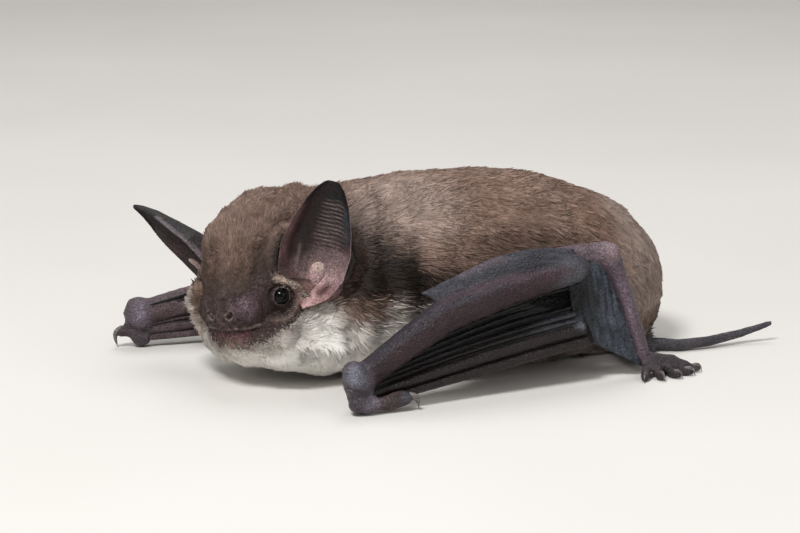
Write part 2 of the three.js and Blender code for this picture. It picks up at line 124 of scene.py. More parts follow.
class Finish:
    """A material and the short ways of adding nodes to it."""

    def __init__(self, name, roughness, specular=0.5):
        self.material = bpy.data.materials.new(name)
        self.material.use_nodes = True
        self.nodes = self.material.node_tree.nodes
        self.links = self.material.node_tree.links
        self.shader = self.nodes["Principled BSDF"]
        self.shader.inputs["Roughness"].default_value = roughness
        self.shader.inputs["Specular IOR Level"].default_value = specular

    def add(self, kind, settings=None, **inputs):
        node = self.nodes.new(kind)
        for key, value in (settings or {}).items():
            setattr(node, key, value)
        for key, value in inputs.items():
            self.put(node.inputs[key.replace("_", " ")], value)
        return node

    def put(self, socket, value):
        if isinstance(value, bpy.types.NodeSocket):
            self.links.new(value, socket)
        elif isinstance(value, np.ndarray):
            socket.default_value = (*value, 1)
        else:
            socket.default_value = value

    def attribute(self, name):
        node = self.add("ShaderNodeAttribute", {"attribute_name": name})
        parts = self.add("ShaderNodeSeparateColor", Color=node.outputs["Color"])
        return node.outputs["Color"], parts.outputs, node.outputs["Alpha"]

    def place(self, stretch=(1, 1, 1)):
        """The place on the piece, scaled each way where a pattern is drawn out."""
        place = self.add("ShaderNodeTexCoord").outputs["Object"]
        if stretch == (1, 1, 1):
            return place
        return self.add("ShaderNodeMapping", Vector=place, Scale=stretch).outputs["Vector"]

    def noise(self, scale, detail=3.0, stretch=(1, 1, 1), roughness=0.55):
        node = self.add("ShaderNodeTexNoise", Vector=self.place(stretch), Scale=scale,
                        Detail=detail, Roughness=roughness)
        return node.outputs["Fac"]

    def cells(self, scale, stretch):
        """How far each place is from the edge of its cell."""
        node = self.add("ShaderNodeTexVoronoi", {"feature": "DISTANCE_TO_EDGE"},
                        Vector=self.place(stretch), Scale=scale)
        return node.outputs["Distance"]

    def ramp(self, value, low, high, to_low=0.0, to_high=1.0):
        node = self.add("ShaderNodeMapRange", Value=value)
        for key, number in (("From Min", low), ("From Max", high), ("To Min", to_low),
                            ("To Max", to_high)):
            node.inputs[key].default_value = number
        return node.outputs["Result"]

    def math(self, operation, a, b):
        node = self.add("ShaderNodeMath", {"operation": operation})
        self.put(node.inputs[0], a)
        self.put(node.inputs[1], b)
        return node.outputs[0]

    def mix(self, share, a, b, way="MIX"):
        node = self.add("ShaderNodeMix", {"data_type": "RGBA", "blend_type": way})
        for number, value in ((0, share), (6, a), (7, b)):
            self.put(node.inputs[number], value)
        return node.outputs[2]

    def bump(self, height, distance, strength=1.0, under=None):
        node = self.add("ShaderNodeBump", Height=height, Distance=distance, Strength=strength)
        if under is not None:
            self.put(node.inputs["Normal"], under)
        return node.outputs["Normal"]

    def colour(self, value, light=None):
        """The finish's colour, made lighter and darker where a light is given."""
        if light is not None:
            grey = self.add("ShaderNodeCombineColor", Red=light, Green=light, Blue=light)
            value = self.mix(1.0, value, grey.outputs[0], "MULTIPLY")
        self.put(self.shader.inputs["Base Color"], value)

    def normal(self, value):
        self.put(self.shader.inputs["Normal"], value)


def fur_finish():
    """Each hair is dark at its root and frosted at its tip; the markings say where it is pale."""
    fur = Finish("fur", 0.6, 0.3)
    _, marks, chance = fur.attribute("markings")
    pale, dark, along = marks[0], marks[1], marks[2]
    brown = fur.mix(pale, tone("6c5245"), tone("ebe8e1"))
    brown = fur.mix(dark, brown, tone("211713"))
    root = fur.mix(pale, tone("281c16"), tone("c9c4bb"))
    tip = fur.mix(pale, tone("b59a8c"), tone("f7f4ee"))
    tip = fur.mix(dark, tip, tone("35281f"))
    hair = fur.mix(fur.ramp(along, 0.0, 0.5), root, brown)
    frost = fur.math("MULTIPLY", fur.ramp(along, 0.45, 1.0), fur.ramp(chance, 0.1, 0.9, 0.3, 1.0))
    shade = fur.ramp(chance, 0.0, 1.0, 0.54, 1.24)
    patch = fur.ramp(fur.noise(240, 4), 0.3, 0.7, 0.8, 1.14)
    fur.colour(fur.mix(frost, hair, tip), fur.math("MULTIPLY", shade, patch))
    return fur.material


def skin_finish():
    """Bare skin: its colours come with the shape; the fine creases are relief."""
    skin = Finish("skin", 0.46, 0.38)
    base, _, _ = skin.attribute("complexion")
    _, relief, _ = skin.attribute("relief")
    blotch = skin.ramp(skin.noise(900, 4, roughness=0.65), 0.3, 0.7, 0.78, 1.22)
    speck = skin.ramp(skin.noise(3600, 2), 0.35, 0.7, 0.64, 1.48)
    skin.colour(base, skin.math("MULTIPLY", blotch, speck))
    cells = skin.ramp(skin.cells(2100, (0.8, 1, 1.3)), 0.0, 0.2)
    creases = skin.math("MULTIPLY", cells, relief[0])
    long_folds = skin.math("MULTIPLY", skin.noise(1100, 3, (0.3, 1, 1.2)), relief[1])
    pores = skin.math("MULTIPLY", skin.noise(3000, 2), relief[2])
    bumps = skin.bump(creases, 0.00014, 0.8)
    bumps = skin.bump(long_folds, 0.0012, 0.8, bumps)
    skin.normal(skin.bump(pores, 0.0004, 0.7, bumps))
    rough = skin.ramp(skin.noise(1400, 3), 0.3, 0.7, 0.36, 0.54)
    skin.put(skin.shader.inputs["Roughness"], rough)
    return skin.material


def eye_finish():
    eye = Finish("eye", 0.04, 0.2)
    ring = eye.ramp(eye.noise(1800, 4), 0.35, 0.7)
    eye.colour(eye.mix(ring, tone("010101"), tone("040303")))
    return eye.material


def horn_finish():
    horn = Finish("horn", 0.42, 0.3)
    streak = horn.ramp(horn.noise(2600, 3, (0.3, 1, 1)), 0.3, 0.7)
    horn.colour(horn.mix(streak, tone("453f3e"), tone("857f7b")))
    horn.normal(horn.bump(horn.noise(4200, 2, (0.2, 1, 1)), 0.0001, 0.4))
    return horn.material


def floor_finish():
    floor = Finish("floor", 0.85, 0.2)
    grain = floor.ramp(floor.noise(9, 2), 0.3, 0.7)
    floor.colour(floor.mix(grain, tone("dcd9d4"), tone("e2dfdb")))
    return floor.material


# ------------------------------------------------------------------ fields over the body
HEAD_AT = np.array([-31.0, 1.0, 15.5])
HEAD_TURN, HEAD_NOD, HEAD_TILT = (math.radians(angle) for angle in (34, 18.5, 7))
EAR_LENGTH, EAR_WIDTH, EAR_WALL = 16.8, 11.0, 0.5
EAR_CURL = math.radians(82)  # how far the cup curls round to each side of its middle
EAR_NARROW = {"left": 0.0, "right": 0.45}  # how far the tip is drawn in and leans back
EYE_AT = (6.05, 7.35, 0.1)
EYE_RADIUS, LID_GAP, LID_OPEN = 1.32, 0.15, 1.21
DOME_EDGE, DOME_RISE = 0.75, 0.35  # where the eye's front starts to bulge, and how much


def unit(values):
    values = np.asarray(values, float)
    return values / np.maximum(np.linalg.norm(values, axis=-1, keepdims=True), 1e-9)


def head_axes():
    """Forward to the nose, to the animal's left, and up through the crown."""
    forward = np.array([-math.cos(HEAD_TURN) * math.cos(HEAD_NOD),
                        -math.sin(HEAD_TURN) * math.cos(HEAD_NOD), -math.sin(HEAD_NOD)])
    level = Vector((math.sin(HEAD_TURN), -math.cos(HEAD_TURN), 0))
    leftward = np.array(Matrix.Rotation(HEAD_TILT, 3, Vector(forward)) @ level)
    return np.stack([forward, leftward, np.cross(forward, leftward)])


HEAD = head_axes()


def to_head(points):
    """Places in the head's own frame: forward, to its left and up from its middle."""
    return (points - HEAD_AT) @ HEAD.T


def from_head(*place):
    return HEAD_AT + np.array(place) @ HEAD


def smooth_step(low, high, values):
    """From 0 at the low end to 1 at the high one, and from 1 to 0 if low is above high."""
    share = np.clip((values - low) / (high - low), 0, 1)
    return share * share * (3 - 2 * share)


def toward(values, aim, share):
    """Moves values towards another by a share for each."""
    return values + share * (aim - values)


def hill(far, width):
    """1 at no distance, falling off smoothly over the width."""
    return np.exp(-(far / width) ** 2)


def ripple(points, size, seed, waves=8):
    """Smooth uneven values, mostly between -1 and 1, with hills of the given size."""
    dice = np.random.default_rng(seed)
    ways = unit(dice.normal(size=(waves, 3))) * dice.uniform(0.6, 1.5, (waves, 1))
    turns = points @ (ways.T * (2 * math.pi / size)) + dice.uniform(0, 2 * math.pi, waves)
    return np.sin(turns).sum(1) / math.sqrt(waves)


def to_line(points, line):
    """How far each point is from a bent line, and how far along it as a share."""
    line = np.asarray(line, float)
    best = np.full(len(points), 1e9)
    along = np.zeros(len(points))
    for i in range(len(line) - 1):
        start, run = line[i], line[i + 1] - line[i]
        share = np.clip((points - start) @ run / (run @ run), 0, 1)
        far = np.linalg.norm(points - start - share[:, None] * run, axis=1)
        near = far < best
        best = np.where(near, far, best)
        along = np.where(near, (i + share) / (len(line) - 1), along)
    return best, along


def filled(line):
    """A bent line with three more places between each two of its own."""
    line = np.asarray(line, float)
    steps = [np.linspace(a, b, 4, endpoint=False) for a, b in zip(line, line[1:])]
    return np.vstack([*steps, line[-1:]])


# Edges of the bare mask in the head's own places: how far back and how low it reaches, as pairs
# of the distance from the middle of the face and the place of the edge there.
MASK_BACK = np.array([(0, 9.9), (1.3, 9.7), (3.3, 8.7), (4.5, 7.3), (6.3, 5.8), (7.2, 4.2),
                      (7.8, 3.0), (9.2, 3.2), (10, 5.0)])
MASK_LOW = np.array([(0, -6.0), (4, -5.3), (6.4, -4.8), (8.9, -4.0), (9.6, -2.4)])
MASK_HALF_WIDTH = {"left": 9.7, "right": 4.3}


def mask_edge(place):
    """How far inside the bare mask of the face each place is, in the head's own places."""
    y = np.abs(place[:, 1])
    front = place[:, 0] - np.interp(y, *MASK_BACK.T)
    low = place[:, 2] - np.interp(y, *MASK_LOW.T)
    side = np.where(place[:, 1] > 0, MASK_HALF_WIDTH["left"], MASK_HALF_WIDTH["right"]) - y
    return np.minimum(np.minimum(front, low), side) + 0.25 * ripple(place, 2.2, 8)


def bare_face(place):
    """1 on the bare mask of the face and 0 in the fur."""
    return smooth_step(-0.9, 1.1, mask_edge(place))


EAR_FOOT = [(2.6, 10.2, -1.8), (0.8, 10.4, -2.8), (-0.6, 11.4, -2.4)]  # bare, below the left ear
EAR_GRID = (68, 100)  # steps around the cup, over both of its sides, and up it
# The ear's form along its length: share of the length, half width and depth of the cup as shares
# of the width, and how far it bends back as a share of the length.
EAR_PROFILE = np.array([
    (-0.14, 0.02, -0.04, 0), (-0.09, 0.16, 0.02, 0), (-0.03, 0.28, 0.16, 0),
    (0.05, 0.36, 0.3, 0), (0.16, 0.44, 0.34, 0.01), (0.38, 0.47, 0.32, 0.03),
    (0.6, 0.395, 0.24, 0.03), (0.8, 0.285, 0.14, 0.02), (0.93, 0.175, 0.07, 0),
    (0.985, 0.1, 0.03, -0.01), (1.0, 0.055, 0.01, -0.01)])


class Ear:
    """A cupped ear on its base, pointing one way and opening another."""

    def __init__(self, base, points, opens, tragus):
        self.base = from_head(*base)
        self.up = unit(np.array(points) @ HEAD)
        opens = unit(np.array(opens) @ HEAD)
        self.side = unit(np.cross(opens, self.up))
        self.back = unit(np.cross(self.side, self.up))
        self.tragus = from_head(*tragus)

    def profile(self, share):
        """Half width, depth of the cup and bend back at a share of the length."""
        width, depth, bend = (np.interp(share, EAR_PROFILE[:, 0], column)
                              for column in EAR_PROFILE.T[1:])
        return width * EAR_WIDTH, depth * EAR_WIDTH, bend * EAR_LENGTH

    def inside(self, points, margin=0.5):
        """1 in the hollow of the ear and 0 outside it."""
        off = points - self.base
        share = off @ self.up / EAR_LENGTH
        width, depth, bend = self.profile(share)
        aside = off @ self.side / (width + margin)
        behind = np.maximum(off @ self.back, 0) / (depth + bend + margin)
        level = np.hypot(aside, behind)
        ends = smooth_step(-0.06, 0.03, share) * smooth_step(0.78, 0.7, share)
        front = smooth_step(-9.5, -8, off @ self.back)
        return smooth_step(1.22, 0.98, level) * ends * front


EARS = {
    "left": Ear((3.4, 9.9, -0.8), (-7.8, 4.5, 13.8), (0.7, 0.64, 0.25), (2.1, 10.6, -0.3)),
    "right": Ear((-0.9, -11.1, -2.1), (-0.6, -12.2, 13), (0.87, -0.34, -0.34), (-1.4, -11.7, -0.6)),
}


CREAM_LINE = [(5.4, 8.0, 2.8), (4.2, 8.9, 1.8), (3.6, 9.4, 0.4), (3.4, 9.7, -1.2), (3.4, 9.8, -2.3)]


def cream_streak(place):
    """1 on the short cream hair between the eye and the ear, on both sides."""
    far = to_line(place * (1, -1, 1), CREAM_LINE)[0]
    return smooth_step(1.5, 0.5, np.minimum(to_line(place, CREAM_LINE)[0], far))


COAT_DEPTH, HAIR_LENGTH = 1.32, 3.6  # over the body
FACE_DEPTH, FACE_HAIR = 0.22, 0.6  # at the edge of the bare mask, from which both grow
DEPTH_GROWTH, HAIR_GROWTH = 1.1, 1.7
BARE_DEPTH, FUZZ_LENGTH = 0.05, 0.5  # under the sparse fuzz of the mask


def coat_fields(points):
    """Depth of the coat over the skin, hair length, and how much of the full coat there is."""
    place = to_head(points)
    reach = np.linalg.norm(place, axis=1)
    on_head = smooth_step(19, 12, reach + 0.5 * np.maximum(-place[:, 2] - 4, 0))
    below = smooth_step(-2, -5, place[:, 2]) * 3
    from_mask = smooth_step(-0.4, 5.5, -mask_edge(place) * (1 + 0.3 * below))
    depth = COAT_DEPTH + 0.15 * ripple(points, 14, 3)
    length = HAIR_LENGTH + 0.3 * ripple(points, 9, 4)
    depth = toward(depth, FACE_DEPTH + DEPTH_GROWTH * from_mask, on_head)
    length = toward(length, FACE_HAIR + HAIR_GROWTH * from_mask, on_head)
    rear = smooth_step(12, 26, points[:, 0])
    depth -= 0.35 * rear
    length -= 0.8 * rear + 0.8 * throat_share(points)
    belly = smooth_step(5, 1.5, points[:, 2]) * (1 - on_head)
    depth, length = toward(depth, 1.2, belly), toward(length, 2.6, belly)
    for ear in EARS.values():
        near = smooth_step(5, 1.5, np.linalg.norm(points - ear.base - 2 * ear.up, axis=1))
        depth -= near * np.maximum(depth - 0.8, 0)
        length -= near * np.maximum(length - 1.7, 0)
        length -= ear.inside(points, 1.8) * np.maximum(length - 1.2, 0)
    streak = cream_streak(place)
    depth, length = toward(depth, 0.4, streak), toward(length, 0.9, streak)
    bare = bare_face(place)
    hollow = np.maximum(EARS["left"].inside(points), EARS["right"].inside(points))
    foot = smooth_step(2.1, 1.2, to_line(place, EAR_FOOT)[0]) * (1 - streak)
    for aim, share in ((BARE_DEPTH, bare), (-0.2, hollow), (0.3, foot)):
        depth = toward(depth, aim, share)
    cover = smooth_step(1.0, 0.3, bare) * smooth_step(0.5, 0.1, hollow)
    cover = np.maximum(cover * (1 - foot), 0.07 * bare)
    length = np.where(bare > 0.7, FUZZ_LENGTH, length)
    return depth, length, cover


def patch_over(points, middle, reach):
    """1 at a place on the body, fading to 0 at its reach along each axis."""
    far = np.linalg.norm((points - middle) / reach, axis=1)
    return smooth_step(1.0, 0.3, far)


def throat_share(points):
    """1 on the throat, fading to 0 up the neck and back to the chest."""
    return smooth_step(10, 4, points[:, 2]) * smooth_step(-14, -24, points[:, 0])


def coat_light(points):
    """Where the frosted tips of the shoulder and the back catch more light."""
    return patch_over(points, (-14, -8, 26), (12, 14, 9))


# Height of the pale throat's upper edge along the body, as pairs of places.
PALE_LINE = np.array([(-42, 5.5), (-36, 7), (-31, 10.5), (-25, 11.8), (-22.5, 11), (-19, 11.3),
                      (-17, 11.8), (-14, 13), (-6, 8), (4, 3), (36, 1)])
# Dark patches behind the ear, seen from the side: place, strength and size.
DARK_PATCHES = [(-20.5, 22, 0.55, 1), (-18.9, 19, 0.9, 1), (-17, 16.5, 1.3, 1),
                (-13.5, 15.2, 1.2, 1), (-20.9, 15.0, 1.1, 0.6)]
PATCH_LENGTH, PATCH_HEIGHT = 5.0, 3.9


def coat_marks(points):
    """How pale and how dark the coat is, between 0 and 1 each. The dark holds painted shade on
    the near flank above the wing and under the belly, the pale a painted highlight on the shoulder.
    """
    place = to_head(points)
    x, _, z = points.T
    uneven = 1.2 * ripple(points, 9, 11) + 0.5 * ripple(points, 3.5, 12)
    pale = smooth_step(2.9, -2.9, z + uneven - np.interp(x, *PALE_LINE.T))
    pale *= (1 - 0.22 * smooth_step(-25, -17, x) * smooth_step(2, 7, z)
             - 0.45 * smooth_step(-12, -2, x))
    streak = smooth_step(-6.8, -8.6, place[:, 1]) * smooth_step(-1.5, 0.5, place[:, 0])
    pale = np.maximum(pale, 0.42 * streak * smooth_step(1.6, -0.8, place[:, 2]))
    pale *= 1 - 0.4 * patch_over(points, (-23.2, -8.4, 10.8), (4, 5, 3.4))
    dark = np.zeros(len(points))
    for middle_x, middle_z, deep, size in DARK_PATCHES:
        far = np.hypot((x - middle_x) / PATCH_LENGTH, (z - middle_z) / PATCH_HEIGHT) / size
        dark = np.maximum(dark, deep * smooth_step(1.4, 0.3, far + 0.12 * uneven))
    brow = smooth_step(5.5, 0.3, -mask_edge(place)) * smooth_step(0.5, 2, place[:, 2])
    crown = smooth_step(15, 11, np.linalg.norm(place, axis=1))
    crown *= smooth_step(0, 4, place[:, 2]) * (0.2 + 0.12 * ripple(points, 4, 13))
    # Painted shade on the near flank's fur just above the wing.
    flank = patch_over(points, (4, -14, 19), (16, 9, 5))
    # Painted shade on the belly's fur low down under the wing.
    under = smooth_step(5, 3, z) * smooth_step(-18, -10, x)
    chin = bare_face(place) * smooth_step(-4.5, -3.2, place[:, 2])
    for share in (0.8 * brow * (place[:, 0] > 1), crown, 0.42 * flank, 0.6 * under, 0.75 * chin):
        dark = np.maximum(dark, share)
    cream = cream_streak(place)
    rump = smooth_step(17, 25, x) * smooth_step(5, 9, z)
    for share in (0.12 * coat_light(points), 0.14 * rump):
        pale = np.maximum(pale, share)
    return np.maximum(pale, 0.7 * cream), np.clip(dark * (1 - pale) * (1 - cream), 0, 1)


# ------------------------------------------------------------------ meshes as arrays
def read_all(items, name, width, kind=np.float32):
    """What every item holds under a name, one row for each."""
    flat = np.empty(len(items) * width, kind)
    items.foreach_get(name, flat)
    return flat.reshape(-1, width)


def points_of(mesh):
    return read_all(mesh.vertices, "co", 3).astype(float) / MM


def put_points(mesh, points):
    mesh.vertices.foreach_set("co", (points * MM).astype(np.float32).ravel())
    mesh.update()


def normals_of(mesh):
    return read_all(mesh.vertex_normals, "vector", 3).astype(float)


def pairs_of(mesh):
    return read_all(mesh.edges, "vertices", 2, np.int32)


def spread(values, pairs, rounds, step=0.5):
    """Averages values with those of the neighbouring points."""
    a, b = pairs.T
    size = len(values)
    count = np.maximum(np.bincount(pairs.ravel(), minlength=size), 1)[:, None]
    for _ in range(rounds):
        total = np.stack([np.bincount(a, values[b, k], size) + np.bincount(b, values[a, k], size)
                          for k in range(values.shape[1])], 1)
        values = values + step * (total / count - values)
    return values


def even_out(mesh, rounds):
    """Smooths a mesh without shrinking it: each step in is followed by a step out."""
    pairs = pairs_of(mesh)
    points = points_of(mesh)
    for _ in range(rounds):
        points = spread(spread(points, pairs, 1, 0.6), pairs, 1, -0.62)
    put_points(mesh, points)


def keep_above(mesh, low):
    """Lifts the points that lie too low, so that nothing passes through the floor."""
    points = points_of(mesh)
    points[:, 2] = np.maximum(points[:, 2], low)
    put_points(mesh, points)


def folded_grid(across, along):
    """A flat grid to bend into a shape, and each point's place on it, from 0 to 1 each way."""
    shape = bmesh.new()
    bmesh.ops.create_grid(shape, x_segments=across, y_segments=along, size=0.5)
    return shape, np.array([vert.co[:2] for vert in shape.verts]).T + 0.5


def two_sides(around):
    """Which points of a folded grid are on its first side, and how far across they are."""
    return around <= 0.5, np.where(around <= 0.5, around * 2, 2 - around * 2)


def move_to(shape, places):
    """Moves the points of a shape to places in millimetres."""
    for vert, spot in zip(shape.verts, places):
        vert.co = Vector(spot * MM)


def closed_mesh(name, shape, merge=1e-6, split=True):
    """Closes a bent shape into a shell whose faces point outwards, and makes it a mesh."""
    bmesh.ops.remove_doubles(shape, verts=shape.verts, dist=merge)
    bmesh.ops.holes_fill(shape, edges=shape.edges, sides=0)
    if split:
        bmesh.ops.triangulate(shape, faces=[face for face in shape.faces if len(face.verts) > 4])
    bmesh.ops.recalc_face_normals(shape, faces=shape.faces)
    mesh = bpy.data.meshes.new(name)
    shape.to_mesh(mesh)
    shape.free()
    return mesh


def new_piece(name, shape, material=None):
    """A bmesh becomes an object at the origin."""
    mesh = shape if isinstance(shape, bpy.types.Mesh) else bpy.data.meshes.new(name)
    if mesh is not shape:
        shape.to_mesh(mesh)
        shape.free()
    piece = bpy.data.objects.new(name, mesh)
    bpy.context.scene.collection.objects.link(piece)
    if material:
        mesh.materials.append(material)
    mesh.shade_smooth()
    return piece


def take_mesh(piece):
    """The mesh of an object with its modifiers applied; the object goes."""
    seen = piece.evaluated_get(bpy.context.evaluated_depsgraph_get())
    mesh = bpy.data.meshes.new_from_object(seen)
    bpy.data.objects.remove(piece)
    return mesh


def add_balls(shape, line):
    """A row of balls, each a place and a radius, that merge into one rounded form."""
    for x, y, z, radius in filled(line):
        place = Matrix.Translation(Vector((x, y, z)) * MM)
        bmesh.ops.create_icosphere(shape, subdivisions=2, radius=radius * MM, matrix=place)


def fused(names, grain, swell, rounds, balls=()):
    """One closed shell around some nodes, which swell until they meet and then shrink back."""
    shape = bmesh.new()
    for name in names:
        shape.from_mesh(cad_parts[name].data)
    for line in balls:
        add_balls(shape, line)
    bmesh.ops.remove_doubles(shape, verts=shape.verts, dist=1e-6)
    shape.normal_update()
    moved = [vert.co + vert.normal * swell * MM for vert in shape.verts]
    for vert, place in zip(shape.verts, moved):
        vert.co = place
    piece = new_piece("flesh", shape)
    remesh = piece.modifiers.new("fuse", "REMESH")
    remesh.mode = "VOXEL"
    remesh.voxel_size = grain * MM
    mesh = take_mesh(piece)
    even_out(mesh, rounds)
    put_points(mesh, points_of(mesh) - normals_of(mesh) * swell)
    return mesh


def tree_of(mesh, places=None):
    """A search tree over the faces of a mesh, with its points at other places if they are given."""
    places = points_of(mesh) if places is None else places
    return BVHTree.FromPolygons(places.tolist(), [tuple(p.vertices) for p in mesh.polygons])


def far_from_line(points, tree, line):
    """How far each point is from a line once the line is laid on the skin."""
    return to_line(points, [np.array(tree.find_nearest(Vector(spot))[0]) for spot in line])[0]


def press(mesh, line, width, height):
    """Presses a groove into a mesh along a line laid on it, or raises a fold there."""
    points, normals = points_of(mesh), normals_of(mesh)
    lift = height * hill(far_from_line(points, tree_of(mesh), line), width)
    put_points(mesh, points + normals * lift[:, None])


def thin(mesh, chosen, share):
    """Leaves a share of the triangles, taking them first from among the chosen points."""
    piece = new_piece("flesh", mesh)
    piece.vertex_groups.new(name="thin").add(np.flatnonzero(chosen).tolist(), 1.0, "REPLACE")
    fewer = piece.modifiers.new("fewer", "DECIMATE")
    fewer.ratio = share
    fewer.vertex_group = "thin"
    fewer.vertex_group_factor = 100
    return take_mesh(piece)


# ------------------------------------------------------------------ the body and the face
def finer(mesh, chosen):
    """Divides the edges between the chosen points once."""
    shape = bmesh.new()
    shape.from_mesh(mesh)
    shape.verts.ensure_lookup_table()
    edges = [e for e in shape.edges if chosen[e.verts[0].index] and chosen[e.verts[1].index]]
    bmesh.ops.subdivide_edges(shape, edges=edges, cuts=1, use_grid_fill=True)
    shape.to_mesh(mesh)
    shape.free()
    mesh.update()


# Lines in the head's own places, for its left side: grooves and raised folds of the face.
FACE_LINES = {
    "mouth": [(11.2, 0, -3.1), (11.1, 2, -3.05), (10.2, 4, -3.2), (9.5, 5.2, -3.2)],
    "upper_lip": [(11.4, 0, -2.5), (11.2, 2.2, -2.45), (10.4, 4.1, -2.6), (9.9, 5.0, -2.6)],
    "lower_lip": [(11.2, 0, -3.8), (11.1, 1.6, -3.8), (10.8, 2.9, -3.8)],
    "nostril": [(11.8, 1.5, -0.35), (11.6, 1.8, -0.15), (11.4, 2.0, 0.05)],
    "cheek_fold": [(8.4, 6.6, -2.6), (7.8, 7.4, -2.8), (7.0, 8.3, -3.0), (5.6, 8.8, -2.6),
                   (4.4, 9.0, -1.9), (3.8, 8.9, -0.9)],
    "cheek_crease": [(3.1, 9.8, -1.9), (4.5, 9.5, -2.7), (6.0, 9.2, -3.6), (7.6, 8.2, -4.0)],
    "brow": [(8.6, 3.9, 2.5), (7.4, 5.2, 3.0), (6.2, 6.6, 2.8), (4.8, 7.4, 2.0)],
    "pad_front": [(11.0, 2.3, 1.6), (11.5, 2.5, 0.4), (11.3, 2.7, -1.0)],
    "pad_back": [(8.6, 4.6, 2.2), (8.2, 5.8, 0.8), (8.8, 5.9, -1.2)],
    "philtrum": [(12.2, 0, 0.2), (12.1, 0, -1.0), (11.4, 0, -2.3)],
}
FOLDS = {  # half width and height of each
    "mouth": (0.16, -0.18), "upper_lip": (0.3, 0.18), "lower_lip": (0.5, 0.24),
    "cheek_fold": (0.4, 0.3), "cheek_crease": (0.3, -0.5), "brow": (0.5, 0.1),
    "pad_front": (0.3, -0.12), "pad_back": (0.6, -0.3), "philtrum": (0.25, -0.12),
}
SWELLS = [  # middle, radius and height of the rounded forms
    ((10.3, 3.9, 0.6), 1.7, 0.55), ((10.3, -3.9, 0.6), 1.7, 0.1), ((11.8, 0, 0.3), 1.2, 0.2),
    ((11.0, 0, -5.1), 1.5, 0.25), ((7.4, 7.4, -1.4), 0.9, -0.3), ((7.4, -7.4, -1.4), 0.9, -0.3),
    ((3.6, 8.9, 2.4), 1.6, 0.9), ((3.2, -9.8, 1.2), 2.4, 0.8), ((4.6, -9.6, -3.4), 2.6, 0.6),
]


class Face:
    """The lines of the face, laid on the skin of the head."""

    def __init__(self, mesh):
        tree = tree_of(mesh, to_head(points_of(mesh)))
        self.lines = {}
        for name, line in FACE_LINES.items():
            for side in (1, -1):
                run = filled(np.array(line) * (1, side, 1))
                laid = [tree.find_nearest(Vector(spot))[0] for spot in run]
                self.lines.setdefault(name, []).append(np.array(laid))

    def near(self, place, name):
        """How far each place is from a line on either side, and how far along it."""
        (far, along), (other, beyond) = (to_line(place, run) for run in self.lines[name])
        return np.minimum(far, other), np.where(far < other, along, beyond)


def eye_places():
    """The middle of each eyeball and the way it faces."""
    places = {}
    for name, side in (("left", 1), ("right", -1)):
        facing = unit(np.array((0.42, side * 0.86, 0.22)) @ HEAD)
        middle = from_head(EYE_AT[0], side * EYE_AT[1], EYE_AT[2]) - 0.25 * facing
        places[name] = (middle, facing)
    return places


def around_eye(points, middle, facing):
    """How far each point stands out along an eye's axis, and how far it is from that axis."""
    off = points - middle
    height = off @ facing
    return height, np.linalg.norm(off - height[:, None] * facing, axis=1)


def sculpt_face(mesh, face):
    """Mouth, nostrils, folds and lids, pressed into and raised from the skin of the head."""
    points, normals = points_of(mesh), normals_of(mesh)
    place = to_head(points)
    chosen = np.flatnonzero((place[:, 0] > 1) & (np.abs(place[:, 1]) < 13) & (place[:, 2] > -9))
    spot = place[chosen]
    lift = np.zeros(len(chosen))
    for name, (width, height) in FOLDS.items():
        far, along = face.near(spot, name)
        lift += height * hill(far, width) * (1 - 0.6 * smooth_step(0.75, 1, along))
    for middle, radius, height in SWELLS:
        lift += height * hill(np.linalg.norm(spot - middle, axis=1), radius)
    far, along = face.near(spot, "nostril")
    lift += 0.14 * hill(far - 0.45, 0.16) - (0.8 - 0.3 * along) * hill(far, 0.24)
    lift += (0.05 * ripple(spot, 1.3, 21) + 0.03 * ripple(spot, 0.6, 22)) * bare_face(spot)
    points[chosen] += normals[chosen] * lift[:, None]
    for middle, facing in eye_places().values():
        height, far = around_eye(points, middle, facing)
        near = (height > -1.5) & (far < 2.4)
        lid = np.sqrt(np.maximum((EYE_RADIUS + LID_GAP) ** 2 - far ** 2, 0))
        hug = smooth_step(2.2, 1.4, far)
        raised = height + hug * (np.maximum(lid, height - 0.1) - height)
        raised += 0.08 * hill(far - 1.36, 0.1) - 0.12 * hill(far - 1.7, 0.15)
        raised = np.where(far < LID_OPEN, 0.2, raised)
        points[near] += ((raised - height)[:, None] * facing)[near]
    put_points(mesh, points)


# Grain, swelling and smoothing of the body's shell, and the share of its triangles that is kept.
BODY_GRAIN, BODY_SWELL, BODY_ROUNDS, BODY_SHARE = 0.52, 0.22, 14, 0.42
# How far the throat's lower edge rises clear of the floor, as pairs of place along and rise.
CHIN_RISE = np.array([(-39, 1.3), (-36, 1.5), (-31.5, 1.75), (-27, 1.3), (-22.5, 0.6), (-16, 0)])
CHIN_SLANT = 0.445  # places along are taken across the camera's view, askew to the body
FINE_LINES = ("mouth", "nostril", "cheek_fold", "upper_lip")


